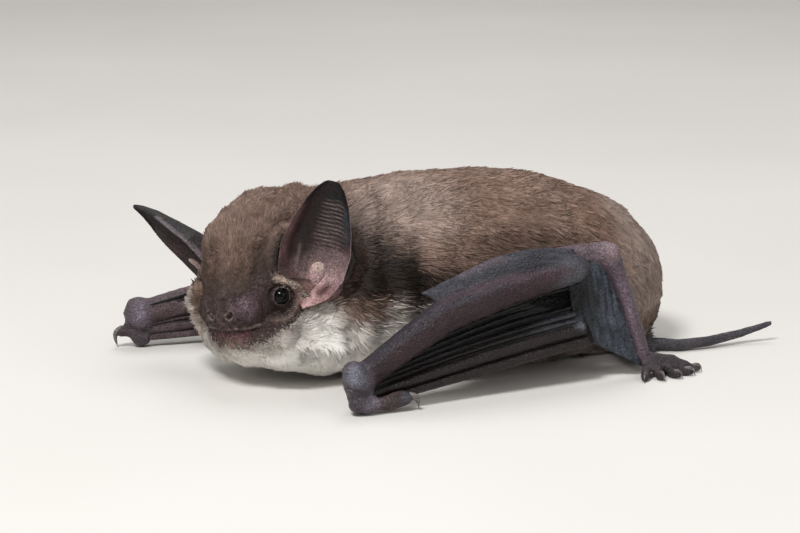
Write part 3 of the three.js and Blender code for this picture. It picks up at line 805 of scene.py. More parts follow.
def body_skin():
    """The skin of the body, with the tree of its outer form that the limbs are rooted in."""
    mesh = fused(BODY, BODY_GRAIN, BODY_SWELL, BODY_ROUNDS)
    outline = points_of(mesh)
    along = outline[:, 0] - CHIN_SLANT * outline[:, 1]
    outline[:, 2] += np.interp(along, *CHIN_RISE.T) * smooth_step(6.0, 1.2, outline[:, 2])
    put_points(mesh, outline)
    tree = tree_of(mesh)
    depth, _, _ = coat_fields(outline)
    normals = spread(normals_of(mesh), pairs_of(mesh), 3)
    put_points(mesh, outline - unit(normals) * depth[:, None])
    even_out(mesh, 2)
    mesh = thin(mesh, np.linalg.norm(to_head(points_of(mesh)), axis=1) > 17, BODY_SHARE)
    face = Face(mesh)
    for lines, reach, whole_mask in ((FACE_LINES, 1.4, True), (FINE_LINES, 0.7, False)):
        points = points_of(mesh)
        place = to_head(points)
        eye = [np.linalg.norm(points - middle, axis=1) for middle, _ in eye_places().values()]
        near = np.min([face.near(place, name)[0] for name in lines], axis=0)
        chosen = (near < reach) | (np.min(eye, axis=0) < 1.6 + reach)
        finer(mesh, chosen | (bare_face(place) > 0.1) if whole_mask else chosen)
        even_out(mesh, 2)
    sculpt_face(mesh, face)
    even_out(mesh, 1)
    keep_above(mesh, 0.3)
    return mesh, tree, face


# ------------------------------------------------------------------ ears, wings, legs and tail
def ear_ridges(u, v):
    """The fine cross ridges of the ear's inner side: thin crests that arch over wider hollows."""
    turn = 2 * math.pi * (27 * v + 2.6 * (u - 0.4) ** 2 + 0.14 * np.sin(u * 17))
    ridges = (0.5 + 0.5 * np.sin(turn)) ** 3.5
    ridges *= smooth_step(0.3, 0.5, v) * smooth_step(0.86, 0.78, v)
    return ridges * smooth_step(0.1, 0.3, u) * smooth_step(0.6, 0.48, u)


def ear_skin(ear, narrow):
    """A closed cup: a ridged inner side with a thick front band, and a smooth outer side."""
    shape, (around, up) = folded_grid(*EAR_GRID)
    inner, u = two_sides(around)
    v = up * 1.14 - 0.14
    edge = np.abs(u * 2 - 1)
    width, depth, bend = ear.profile(v)
    angle = (u * 2 - 1) * EAR_CURL
    foot = smooth_step(0.14, -0.06, v) * smooth_step(0.5, 0.7, u)
    bowl = (np.cos(angle) - math.cos(EAR_CURL)) / (1 - math.cos(EAR_CURL))
    band = hill(u - 0.87, 0.08) * smooth_step(0.85, 0.6, v)
    groove = hill(u - 0.72, 0.05) * smooth_step(0.8, 0.55, v) * smooth_step(0.14, 0.28, v)
    rim = smooth_step(0.93, 1.0, edge) * (1 - v)
    form = 0.3 * groove + 0.2 * rim - 0.5 * band - 0.18 * ear_ridges(u, v)
    wall = EAR_WALL * (1 - 0.55 * smooth_step(0.8, 1.0, edge)) * (1 - 0.4 * v)
    behind = depth * bowl + bend + np.where(inner, form, wall * np.cos(angle) + 0.2 * rim)
    aside = width * (1 - narrow * smooth_step(0.7, 1.0, v)) * (1 - 0.55 * foot)
    aside = (aside / math.sin(EAR_CURL) + np.where(inner, 0, wall * 0.5)) * np.sin(angle)
    places = (ear.base + np.outer(v * EAR_LENGTH, ear.up) + np.outer(aside, ear.side)
              + np.outer(behind, ear.back))
    move_to(shape, places + narrow * np.outer(smooth_step(0.55, 1.0, v), (0.9, 0, 1.4)))
    return closed_mesh("ear", shape, 1e-5)


def tragus_skin(ear):
    """The small blunt lobe that stands in front of the ear's opening."""
    shape = bmesh.new()
    bmesh.ops.create_uvsphere(shape, u_segments=20, v_segments=14, radius=1)
    across, out, high = np.array([vert.co for vert in shape.verts]).T
    aside = 1.2 * across * (1 - 0.25 * np.maximum(-high, 0))
    move_to(shape, ear.tragus + np.outer(1.9 + 1.75 * high, ear.up) + np.outer(aside, ear.side)
            - np.outer(0.1 + 0.42 * out + 0.3 * high * high, ear.back))
    return closed_mesh("tragus", shape)


# Middles of the joints of each side's limbs.
WRIST = {"left": np.array([-26, -23, 4.7]), "right": np.array([-42.6, 25.2, 5.2])}
ELBOW = {"left": np.array([9.8, -21, 17.4]), "right": np.array([-4, 21.8, 11])}
KNEE = {"left": np.array([15.7, -19.6, 18.8]), "right": np.array([15.7, 19.6, 18.8])}
KNUCKLE = {"left": np.array([10.2, -22.5, 9]), "right": np.array([-5.4, 23.2, 5.8])}
ANKLE = {"left": np.array([20.9, -21.3, 3.2]), "right": np.array([20.9, 21.3, 3.2])}
# Rounded forms of each hand: the wrist's knob, then the fat thumb, as places with radii.
HAND = {
    "left": [[(-27.0, -23.8, 6.4, 1.7), (-26.9, -23.9, 4.6, 1.75)],
             [(-26.6, -24.0, 1.7, 1.3), (-25.2, -24.3, 1.3, 1.15), (-22.8, -24.7, 1.75, 0.78),
              (-21.0, -24.8, 2.3, 0.85), (-19.9, -24.8, 2.3, 0.95), (-18.9, -24.8, 2.0, 0.7)]],
    "right": [[(-42.3, 24.7, 6.4, 1.6), (-42.6, 24.8, 4.6, 1.8)],
              [(-42.2, 25.4, 1.5, 1.2), (-43.2, 25.6, 2.3, 1.0), (-44.1, 25.8, 2.7, 1.0),
               (-44.8, 25.9, 2.5, 0.8)]],
}
# Creases between the wrist's knob and the root of the thumb, pressed in and darkened with painted
# shade.
CREASE_WIDTH, CREASE_DEPTH = 0.4, 0.45
HAND_CREASE = {
    "left": [(-29.0, -25.2, 4.2), (-28.0, -25.6, 3.7), (-26.7, -25.6, 3.3), (-25.2, -25.4, 3.1)],
    "right": [(-44.6, 24.0, 3.2), (-43.4, 23.2, 2.9), (-42.0, 23.2, 2.9)],
}


def bent(points, shares):
    """Places along a smooth line through three points."""
    a, b, c = (np.asarray(p, float) for p in points)
    middle = 2 * b - (a + c) / 2
    t = shares[:, None]
    return (1 - t) ** 2 * a + 2 * t * (1 - t) * middle + t ** 2 * c


# Names of the folds' painted light and shade: lit crests, the lower brown share, a grey highlight.
FOLD_SHADES = ("light", "low", "grey")
FOLD_GRID = {"left": (80, 100), "right": (50, 100)}  # steps along the wing and around it
PLEATS, PLEATS_END = 6, 0.62  # how many, and how far down the wing they reach
FOLDED_FINGERS = ((0.72, 0.105), (0.92, 0.09))  # middle and half width of each, down the wing


def fold_profile(u, v):
    """How far the folded wing stands out, from its top to its lower edge, and its painted light:
    lit crests, painted shade in the pleats and the hollow, and painted grey highlights.
    """
    pleat = np.abs(np.sin(math.pi * (v / PLEATS_END * PLEATS + 0.15 * np.sin(u * 3 + 1)))) ** 0.7
    hollow = smooth_step(0.3, 0.9, u) * smooth_step(0.02, 0.16, v) * smooth_step(0.52, 0.3, v)
    out = (0.55 + 0.3 * u) * pleat - 0.6 - 1.4 * hollow
    # Painted light on the crests, painted shade in the troughs and in the hollow under the forearm.
    light = (0.15 + 0.85 * pleat ** 2) * (1 - hollow)
    # A painted grey highlight on the lower pleats towards the knuckle.
    grey = light * smooth_step(0.7, 0.95, u) * smooth_step(0.3, 0.5, v)
    low = smooth_step(0.3, PLEATS_END, v) * smooth_step(0.9, 0.5, u)
    for middle, half in FOLDED_FINGERS:
        arch = np.sqrt(np.clip(1 - ((v - middle) / half) ** 2, 0, 1))
        on = np.abs(v - middle) < half
        out = np.where(on, -0.2 + 0.95 * arch, out)
        # Each finger is painted lit along its rounded top and shaded at its edges.
        light, grey = np.where(on, arch, light), np.where(on, 0, grey)
        low = np.where(on, 1.0, low)
    # A knob near the knuckle, raised and painted with a pale highlight.
    knob = hill(u - 0.975, 0.02) * hill(v - 0.66, 0.05)
    return out + 0.6 * knob, light, low, np.maximum(0.26 * grey, knob)


def wing_folds(side):
    """The folded wing below the forearm: narrow pleats above and two long fingers below."""
    outward = SIDES[side]
    wrist, knuckle = WRIST[side], KNUCKLE[side]
    inner_shown = side == "right"

    def off(start, x, out, z):
        return start + np.array((x, outward * out, z))

    top = [off(wrist, 0.6, 0.3, 1.6),
           (off(wrist, 0, -1.2, 3) + off(knuckle, 0, -1.2, 7)) / 2, off(knuckle, -1.4, -1.2, 6)]
    drop = 0.5 if inner_shown else 0.0
    low = [off(wrist, 0.8, 0.9, -3.6 - drop),
           (off(wrist, 0, 0.2, -4.4 - drop) + off(knuckle, 1, 0, -2.8)) / 2,
           off(knuckle, 1.2, 0, -2.9)]
    shape, (u, w) = folded_grid(*FOLD_GRID[side])
    front = 0.5 if inner_shown else 0.8
    outer = w < front
    v = np.where(outer, w / front, 1 - (w - front) / (1 - front))
    upper, lower = bent(top, u), bent(low, u)
    places = upper + v[:, None] * (lower - upper)
    out, light, low_share, grey = fold_profile(u, v)
    out = out * (0.35 + 0.65 * smooth_step(0, 0.2, u)) + 0.03 * ripple(places, 1.4, 31)
    shown = outer | inner_shown
    out = np.where(outer, out, np.where(shown, -1.8 - 0.8 * out, -1.3))
    taper = smooth_step(0.965, 1.0, u) * outer
    places[:, 1] += outward * (out - taper * (out + 0.9))
    places[:, 0] += 1.19 * smooth_step(0.5, 0.85, v) * smooth_step(0.8, 1.0, u)
    places[:, 2] = np.maximum(places[:, 2], 0.35)
    move_to(shape, places)
    # Each point keeps its painted light and shade for the fold's colours.
    for name, shares in zip(FOLD_SHADES, (light, low_share, grey)):
        layer = shape.verts.layers.float.new(name)
        for vert, share in zip(shape.verts, shares * shown):
            vert[layer] = share
    return closed_mesh("folds", shape, split=False)


def round_bone(points, start, end):
    """The share along a bone, the distance from it and the angle around it."""
    run = end - start
    share = (points - start) @ run / (run @ run)
    off = points - start - share[:, None] * run
    side = unit(np.cross(run, (0, 0, 1)))
    above = unit(np.cross(side, run))
    return share, np.linalg.norm(off, axis=1), np.arctan2(off @ above, off @ side)


def shank_folds(share, angle):
    """The long folds that wind down the shank, from -1 in the grooves to 1 on the crests."""
    return np.sin(3 * angle + 0.8 + 1.2 * share)


def wrinkle_limbs(mesh, side):
    """Long folds on the shank and fine slack wrinkles in the skin of the arm and the wing."""
    points, normals = points_of(mesh), normals_of(mesh)
    share, far, angle = round_bone(points, KNEE[side], ANKLE[side])
    on = smooth_step(0.05, 0.2, share) * smooth_step(1, 0.85, share)
    on *= smooth_step(2.4, 1.8, far)
    lift = 0.16 * on * shank_folds(share, angle)
    share, far, _ = round_bone(points, WRIST[side], ELBOW[side])
    on = smooth_step(0.1, 0.25, share) * smooth_step(4.0, 3.2, far)
    lift += on * (0.05 * ripple(points * (0.6, 1, 1), 1.5, 61) + 0.04 * ripple(points, 0.8, 62))
    toes = smooth_step(1.0, 2.2, np.linalg.norm(points[:, :2] - ANKLE[side][:2], axis=1))
    lift += 0.22 * toes * (points[:, 2] < 4) * (points[:, 0] > 12)
    put_points(mesh, points + normals * lift[:, None])
    keep_above(mesh, 0.02)


SHEET_GRID = (92, 46)  # steps around the web, over both of its sides, and up it


def side_sheet(side):
    """The slack web between the folded wing, the knee and the ankle."""
    outward = SIDES[side]
    elbow, knuckle, knee, ankle = ELBOW[side], KNUCKLE[side], KNEE[side], ANKLE[side]
    shape, (around, up) = folded_grid(*SHEET_GRID)
    outer, s = two_sides(around)
    t = 1 - up
    start = elbow + (-1.4, -0.9 * outward, -1.2)
    under = knuckle + (-0.6, -0.7 * outward, -1.6)
    heel = ankle + (-0.3, 0.35 * outward, -1.7)
    left = start + np.outer(t, under - start)
    places = left + s[:, None] * (knee + np.outer(t, heel - knee) - left)
    lines = np.sin(2 * math.pi * (7.5 * s + 0.5 * ripple(places * (1, 1, 0.3), 5, 63)))
    knobs = smooth_step(0.35, 0.12, s) * smooth_step(0.9, 0.6, t)
    slack = 0.06 * lines + 0.05 * ripple(places * (1, 1, 0.35), 1.3, 64)
    slack += 0.16 * knobs * ripple(places, 0.7, 67) - 0.75 * np.sin(math.pi * s) * t
    slack *= smooth_step(0, 0.06, t) * smooth_step(1, 0.9, s)
    places[:, 1] += outward * (slack + np.where(outer, 0.22, -0.22))
    places[:, 2] = np.maximum(places[:, 2], 0.3)
    move_to(shape, places)
    mesh = closed_mesh("sheet", shape)
    places = points_of(mesh)
    crest = smooth_step(-1.2, 1.2, ripple(places * (1, 1, 0.22), 1.1, 65))
    # Painted shadow under the elbow, and painted shade lower down by the folded wing.
    inner = np.linalg.norm((places - (elbow + (0.2, 0, -3.2))) / (2.4, 9, 4.4), axis=1)
    inner = smooth_step(1.3, 0.5, inner)
    lower = patch_over(places, elbow + (1.4, 0, -6.9), (4.2, 9, 6))
    colour = blend(tone("272b33"), "3f454f", crest)
    colour = colour * ((1 - 0.85 * inner) * (1 - 0.5 * lower))[:, None]
    return mesh, mottled(colour, places, 3.5, 66, 0.15), SHEET_RELIEF


LIMB_SWELL, LIMB_ROUNDS = 0.17, 8
LIMB_GRAIN = {"left": 0.34, "right": 0.42, "tail": 0.37}
ROOT_REACH, ROOT_SINK = 1.2, 2.4  # how near to the coat a limb sinks in, and how deep


def limb_skin(names, grain, tree, balls=()):
    """A shell around a limb, rooted in the body under the coat."""
    mesh = fused(names, grain, LIMB_SWELL, LIMB_ROUNDS, balls)
    points = points_of(mesh)
    for i, spot in enumerate(points):
        found, normal, _, far = tree.find_nearest(Vector(spot), ROOT_REACH)
        if found is not None:
            points[i] = spot - np.array(normal) * ROOT_SINK * (1 - far / ROOT_REACH)
    put_points(mesh, points)
    keep_above(mesh, 0.0)
    return mesh


# Written colours of the bare parts.
PAINT = {
    "upper_arm": "302a31", "forearm": "2c1a1f", "wrist": "4c434a", "thumb": "423334",
    "arm_membrane": "2b2a33", "thigh": "6b5a61", "shank": "5c4d57", "foot": "3b3337",
    "tail": "3e3b40", "tail_membrane": "333137",
}
# Painted highlights and sheen on the wrists, knee, elbow and thumbs, a broad painted highlight on
# the far forearm, and a painted shadow where the elbow meets the web: middle, reach, written
# colour and strength.
PAINTED_HIGHLIGHTS_AND_SHADOWS = {
    "left": [((-27.5, -25.8, 6.3), 1.5, "98a0b2", 0.5), ((15.7, -20.8, 19.9), 1.9, "a88f96", 0.6),
             ((11.5, -21.6, 16.4), 1.1, "060607", 0.9),
             ((8.6, -22.6, 16.6), 3.0, "55575f", 0.75), ((-24.6, -25.5, 1.9), 1.4, "6b6672", 0.6),
             ((-19.6, -25.6, 2.2), 0.9, "5a6070", 0.6)],
    "right": [((-42.8, 23.0, 5.6), 1.3, "8d8299", 0.45), ((-42.4, 23.2, 7.4), 1.0, "7c7488", 0.4),
              ((-31, 23, 9.0), 8.5, "8d767a", 0.95)],
}
# Bands along the left arm: pale mauve on the web's top, dark slate below it, and a pink band
# along the forearm that is painted sheen: places, half width, written colour and strength.
ARM_BANDS = [
    ([(-8.5, -20.5, 19.3), (-5.7, -20.5, 20.0), (-2.5, -20.5, 20.1)], 0.9, "6d5c66", 0.5),
    ([(-13.2, -21.5, 16.3), (-9, -21.5, 17.7), (-4.7, -21.5, 18.1), (4.8, -21.5, 18.7)],
     1.1, "1c2127", 0.5),
    ([(-12.3, -22.5, 14.3), (-7.5, -22.5, 15.7), (-2.4, -22.5, 16.7), (7.2, -22.5, 17.2)],
     0.9, "4a3038", 0.5),
]


def arm_tints(colour, mesh, sheet, side):
    """Streaks of the arm's web, painted shade in the creases of the hand, and the bands of the
    near arm with their painted sheen.
    """
    points = points_of(mesh)
    streak = ripple(points * (0.2, 1, 1), 1.1, 45) + 0.7 * ripple(points * (0.3, 1, 1), 0.5, 46)
    colour = colour * (1 + 0.3 * sheet * streak[:, None])
    crease, _ = to_line(points, HAND_CREASE[side])
    # Painted shade along the creases of the hand.
    colour = colour * (1 - 0.75 * hill(crease, 0.6))[:, None]
    if side == "left":
        tree = tree_of(mesh)
        for line, width, code, strength in ARM_BANDS:
            colour = blend(colour, code, strength * hill(far_from_line(points, tree, line), width))
    return colour


def leg_tints(colour, points, side):
    """Painted highlights on the crests of the shank's folds and painted shade in their grooves,
    and darker slate on the thigh below the knee's height.
    """
    share, _, angle = round_bone(points, KNEE[side], ANKLE[side])
    # The folds' crests are painted lighter as highlight and their grooves darker as shade.
    streak = smooth_step(0.1, 0.3, share) * (0.5 + 0.5 * shank_folds(share, angle))
    colour = colour * (0.72 + 0.5 * streak)[:, None]
    below = smooth_step(17.6, 16.2, points[:, 2]) * (points[:, 0] < KNEE[side][0] - 1.5)
    return blend(colour, "23252c", below)


def limb_colours(mesh, names, side=None):
    """Colours and relief of the bare limbs, from the nearest named part, with their painted
    highlights, sheen and shadow.
    """
    verts, faces, owner = [], [], []
    for name in names:
        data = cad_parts[name].data
        data.calc_loop_triangles()
        first = len(verts)
        verts += [vert.co / MM for vert in data.vertices]
        faces += [[first + i for i in triangle.vertices] for triangle in data.loop_triangles]
        plain = name.removesuffix("_left").removesuffix("_right")
        owner += [plain] * len(data.loop_triangles)
    tree = BVHTree.FromPolygons(verts, faces)
    points, pairs = points_of(mesh), pairs_of(mesh)
    codes = {name: tone(code) for name, code in PAINT.items()}
    near = [owner[tree.find_nearest(Vector(spot))[2]] for spot in points]
    colour = spread(np.array([codes[name] for name in near]), pairs, 5)
    sheet = spread(np.array([[float("membrane" in name)] for name in near]), pairs, 3)
    # Painted bluish sheen on the upward-facing side of the forearm.
    top = smooth_step(0.2, 0.9, normals_of(mesh)[:, 2])
    colour = blend(colour, "2c2d37", 0.6 * top * [name == "forearm" for name in near])
    # Painted highlights, sheen and shadow on the limbs.
    for middle, reach, code, strength in PAINTED_HIGHLIGHTS_AND_SHADOWS.get(side, ()):
        far = np.linalg.norm(points - middle, axis=1)
        colour = blend(colour, code, strength * hill(far, reach))
    if "upper_arm" in names[0]:
        colour = arm_tints(colour, mesh, sheet, side)
    if "thigh" in names[0]:
        colour = leg_tints(colour, points, side)
    return mottled(colour, points, 5, 41), blend(LIMB_RELIEF, MEMBRANE_RELIEF, sheet)


def fold_colours(mesh, side):
    """Painted shade, near black, between the pleats and under the forearm; painted light on the
    crests, brown-black along the near wing's fingers and light mauve along the far wing's; and a
    painted grey highlight near the knuckle.
    """
    light, low, grey = (read_all(mesh.attributes[name].data, "value", 1) for name in FOLD_SHADES)
    for name in FOLD_SHADES:
        mesh.attributes.remove(mesh.attributes[name])
    # The far wing's crests are painted far lighter than the near wing's: lit and shaded copies.
    crest = blend(tone("0d0c0f"), "190f0d" if side == "left" else "57474b", low)
    colour = blend(tone("020202"), crest, light)
    # Painted grey highlight near the knuckle.
    colour = blend(colour, "6d6f7a", grey)
    return mottled(colour, points_of(mesh), 4, 44, 0.15), FOLD_RELIEF


def ear_colours(ear, points, facing):
    """Pink at its foot, dark and ridged above, with a lighter front band and rim. Its ridges carry
    painted highlights with painted shade between them and in the hollow, and a painted bluish
    glint; the far ear is painted darker all over, as shade.
    """
    off = points - ear.base
    share = off @ ear.up / EAR_LENGTH
    width, _, _ = ear.profile(share)
    aside = np.clip(off @ ear.side / width * math.sin(EAR_CURL), -1, 1)
    u = (np.arcsin(aside) / EAR_CURL + 1) / 2
    inner = smooth_step(-0.2, 0.4, -(facing @ ear.back))
    low = smooth_step(0.16, 0.46, share + 0.2 * (u - 0.4))
    crest = ear_ridges(u, share)
    colour = blend(tone("8a7272"), "3f2f31", low)
    colour = blend(colour, "171112", smooth_step(0.45, 0.7, share))
    # Painted highlights on the ridges' crests and painted shade between them.
    between = (0.3 * low * (1 - crest))[:, None]
    colour = blend(colour, "a08d8a", 0.5 * crest) - between * colour
    # Painted shade in the hollow of the cup.
    hollow = smooth_step(0.48, 0.6, u) * smooth_step(0.86, 0.76, u) * smooth_step(0.06, 0.3, share)
    colour = blend(colour, "241718", 0.75 * hollow)
    band = hill(u - 0.9, 0.1) * smooth_step(0.85, 0.6, share)
    colour = blend(colour, "705553", 0.85 * band)
    glint = hill(u - 0.12, 0.07) * smooth_step(0.4, 0.5, share) * smooth_step(0.85, 0.7, share)
    colour = blend(colour, "56606c", 0.3 * glint)
    colour = blend(blend(tone("2b2324"), "4a3d3a", 1 - low), colour, inner)
    rose = blend(tone("977472"), "c49c9a", hill(u - 0.36, 0.12))
    colour = blend(colour, rose, 0.85 * smooth_step(0.16, 0.03, share))
    bay = smooth_step(0.46, 0.56, u) * smooth_step(0.3, 0.16, share)
    colour = blend(colour, "54423f", 0.85 * inner * bay * smooth_step(-0.1, -0.04, share))
    for middle, start, end in ((0.57, 0.1, 0.34), (0.64, 0.16, 0.42)):
        stripe = hill(u - middle, 0.014) * smooth_step(start - 0.04, start, share)
        colour = blend(colour, "9d8783", 0.5 * inner * stripe * smooth_step(end, end - 0.08, share))
    edge = smooth_step(0.95, 0.985, np.abs(2 * u - 1)) * smooth_step(0.95, 0.7, share)
    rim = "7d6c70"
    # The far ear is painted darker all over, as shade, with a stronger rim line.
    if ear is EARS["right"]:
        colour, edge, rim = colour * 0.42, 1.2 * smooth_step(0.6, 1.0, edge), "665a5f"
    return mottled(blend(colour, rim, 0.6 * edge), points, 2.5, 43), EAR_RELIEF


def tragus_colours(ear, points):
    high = smooth_step(1, 3.6, (points - ear.tragus) @ ear.up)
    return blend(tone("9a7c7d"), "b39d94", high), TRAGUS_RELIEF


# Colour, half width and strength along each line of the bare face. The upper lip's pale line
# is a painted highlight, and the black of the nostrils is painted shade in their openings.
FACE_PAINT = {
    "upper_lip": ("a58f87", 0.22, 0.85), "lower_lip": ("6c3a47", 0.5, 0.8),
    "cheek_fold": ("836a5f", 0.34, 0.75), "mouth": ("241718", 0.12, 0.35),
    "brow": ("47322f", 0.5, 0.5), "philtrum": ("54403e", 0.6, 0.5),
    "nostril": ("060404", 0.24, 1.0),
}
# Round dabs of colour on the mask, in the head's own places: middle, colour, width and strength.
# The near muzzle pad is painted lighter than the far one, as a highlight, and the near-black dab
# beside each pad is painted shade in the hollow below the eye.
FACE_DABS = [
    ((10.3, 3.9, 0.6), "69555f", 2.1, 0.95), ((7.2, 7.6, -1.0), "170d0d", 1.8, 0.8),
    ((10.3, -3.9, 0.6), "463739", 2.1, 0.95), ((7.2, -7.6, -1.0), "170d0d", 1.8, 0.8),
    ((12, 0, -0.2), "4c3a37", 1.4, 0.8), ((11.2, 0.5, -5.2), "80675f", 2.4, 0.8),
]


def face_colours(points, face):
    """Colours of the body's skin: the coat's ground under the fur, and the bare mask, with its
    painted highlights and its painted shade in creases, hollows and round the eyes.
    """
    place = to_head(points)
    pale, dark = coat_marks(points)
    ground = blend(blend(tone("372b23"), "a29c94", pale), "1e1713", dark)
    bare = bare_face(place)
    on_head = np.linalg.norm(place, axis=1) < 18

    def dab(colour, code, far, width, share):
        return blend(colour, code, share * hill(far, width))

    def near(name):
        far = np.full(len(points), 99.0)
        far[on_head] = face.near(place[on_head], name)[0]
        return far

    mask = np.tile(tone("32201f"), (len(points), 1))
    for middle, code, width, share in FACE_DABS:
        mask = dab(mask, code, np.linalg.norm(place - middle, axis=1), width, share)
    mask = mottled(mask, place, 1.6, 71)
    mask = dab(mask, "83706f", np.abs(near("nostril") - 0.46), 0.16, 0.7)
    for name, (code, width, share) in FACE_PAINT.items():
        mask = dab(mask, code, near(name), width, share)
    colour = blend(ground, mask, bare)
    colour = blend(colour, "b09a88", 0.9 * cream_streak(place))
    colour = dab(colour, "90716c", to_line(place, EAR_FOOT)[0], 1.9, 0.95)
    colour = dab(colour, "8e7069", np.linalg.norm(place - (1.6, 9.1, -1.0), axis=1), 1.3, 0.7)
    # Painted shade in the crease down the cheek.
    colour = dab(colour, "1d1312", near("cheek_crease"), 0.26, 0.85)
    for middle, facing in eye_places().values():
        height, far = around_eye(points, middle, facing)
        colour = blend(colour, "655c60", 0.6 * hill(far - 1.32, 0.14) * (height > 0))
        shade = 0.45 * hill(far - 1.75, 0.25) * (height > -0.5)
        colour = colour * (1 - shade)[:, None]
    return colour, blend(GROUND_RELIEF, MASK_RELIEF, bare)


def paint_mesh(mesh, name, values):
    """Keeps colours, or other values from 0 to 1, with the points of a mesh under a name."""
    layer = mesh.attributes.new(name, "FLOAT_COLOR", "POINT")
    full = np.ones((len(values), 4), np.float32)
    full[:, :values.shape[1]] = np.clip(values, 0, 1)
    layer.data.foreach_set("color", full.ravel())


def side_shells(side, tree):
    """The bare shells of one side, each with its colours and relief."""
    names = [f"{part}_{side}" for part in ARM]
    mesh = limb_skin(names, LIMB_GRAIN[side], tree, HAND[side])
    press(mesh, HAND_CREASE[side], CREASE_WIDTH, -CREASE_DEPTH)
    wrinkle_limbs(mesh, side)
    yield mesh, *limb_colours(mesh, names, side)
    names = [f"{part}_{side}" for part in LEG]
    mesh = limb_skin(names, LIMB_GRAIN[side], tree)
    wrinkle_limbs(mesh, side)
    yield mesh, *limb_colours(mesh, names, side)
    yield side_sheet(side)
    mesh = wing_folds(side)
    yield mesh, *fold_colours(mesh, side)
    ear = EARS[side]
    mesh = ear_skin(ear, EAR_NARROW[side])
    yield mesh, *ear_colours(ear, points_of(mesh), normals_of(mesh))
    mesh = tragus_skin(ear)
    yield mesh, *tragus_colours(ear, points_of(mesh))


def make_skin(material):
    """One skin over all the flesh. Returns it with the part of it that bears the coat."""
    body, tree, face = body_skin()
    shells = [(body, *face_colours(points_of(body), face))]
    for side in SIDES:
        shells += side_shells(side, tree)
    mesh = limb_skin(TAIL, LIMB_GRAIN["tail"], tree)
    shells.append((mesh, *limb_colours(mesh, TAIL)))
    whole = bmesh.new()
    for mesh, _, _ in shells:
        whole.from_mesh(mesh)
    skin = new_piece("skin", whole, material)
    paint_mesh(skin.data, "complexion", np.vstack([colour for _, colour, _ in shells]))
    paint_mesh(skin.data, "relief", np.vstack([np.broadcast_to(relief, colour.shape)
                                               for _, colour, relief in shells]))
    sided = (*ARM, *LEG, *FINGERS, "side_membrane", "wing_folds", "ear", "tragus")
    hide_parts(*BODY, *TAIL, *(f"{part}_{side}" for side in SIDES for part in sided))
    return skin, body


# ------------------------------------------------------------------ the coat
def unwrap(mesh):
    """An unwrap of a mesh's own shape, as a place for each corner of its triangles."""
    piece = bpy.data.objects.new("unwrap", mesh)
    bpy.context.scene.collection.objects.link(piece)
    bpy.context.view_layer.objects.active = piece
    piece.select_set(True)
    bpy.ops.object.mode_set(mode="EDIT")
    bpy.ops.mesh.select_all(action="SELECT")
    bpy.ops.uv.smart_project(angle_limit=1.2, island_margin=0.004)
    bpy.ops.object.mode_set(mode="OBJECT")
    places = read_all(mesh.uv_layers.active.data, "uv", 2)
    bpy.data.objects.remove(piece)
    return places


class Roots:
    """Random places on the skin where tufts grow, as many as the coat's cover asks for."""

    def __init__(self, mesh, count, cover, seed):
        dice = np.random.default_rng(seed)
        mesh.calc_loop_triangles()
        corner = read_all(mesh.loop_triangles, "vertices", 3, np.int32)
        loops = read_all(mesh.loop_triangles, "loops", 3, np.int32)
        points, normals = points_of(mesh), normals_of(mesh)
        a, b, c = (points[corner[:, k]] for k in range(3))
        weight = np.linalg.norm(np.cross(b - a, c - a), axis=1) * cover[corner].mean(1)
        edges = np.cumsum(weight)
        pick = np.searchsorted(edges, dice.uniform(0, edges[-1], count))
        one, two = dice.uniform(size=(2, count))
        turn = one + two > 1
        one, two = np.where(turn, 1 - one, one), np.where(turn, 1 - two, two)
        shares = np.stack([1 - one - two, one, two], 1)[:, :, None]
        self.at = (points[corner[pick]] * shares).sum(1)
        self.out = unit((normals[corner[pick]] * shares).sum(1))
        self.map = (unwrap(mesh)[loops[pick]] * shares).sum(1)
        self.dice = dice


def lie_of_coat(points, out):
    """The way the hair lies: back from the nose over the head, then along the body."""
    away = unit(points - from_head(11.5, 0, -1))
    share = smooth_step(11, 22, np.linalg.norm(points - HEAD_AT, axis=1)[:, None])
    side = np.sign(points[:, 1:2]) * smooth_step(3, 14, np.abs(points[:, 1:2]))
    body = np.hstack([np.ones_like(side), 0.1 * side, -0.4 * np.abs(side)])
    body[:, 2] -= 0.7 * smooth_step(10, 34, points[:, 0])
    way = away * (1 - share) + unit(body) * share
    way[:, 2] -= 1.3 * throat_share(points)
    return unit(way - (way * out).sum(1, keepdims=True) * out)


# A tuft is a slender closed form of four triangles: its root, two points at its waist, its tip.
TUFT_FACES = np.array([(0, 1, 2), (1, 3, 2), (0, 3, 1), (0, 2, 3)])
# Where its points lie around the root's place on the unwrap, and along the hair.
TUFT_MAP = np.array([(0, -1), (-0.8, 0), (0.8, 0), (0, 1)]) * 0.0015
TUFT_ALONG = (0, 0.5, 0.5, 1)
ROOT_SHARE = 0.45  # of the length lies between the root and the waist
TUFT_WIDTH, WIDTH_LIMITS = 0.036, (0.055, 0.12)  # as a share of the hair's length, and in mm
CLUMP_TUFTS, CLUMP_PULL, STRAY_SHARE = 14, 0.18, 0.02


def clumps(at, dice):
    """Small clumps that the tufts lean into: the middle of each tuft's clump and its number."""
    middles = at[dice.choice(len(at), max(len(at) // CLUMP_TUFTS, 1), replace=False)]
    tree = KDTree(len(middles))
    for i, middle in enumerate(middles):
        tree.insert(middle, i)
    tree.balance()
    number = np.array([tree.find(spot)[1] for spot in at])
    return middles[number], number


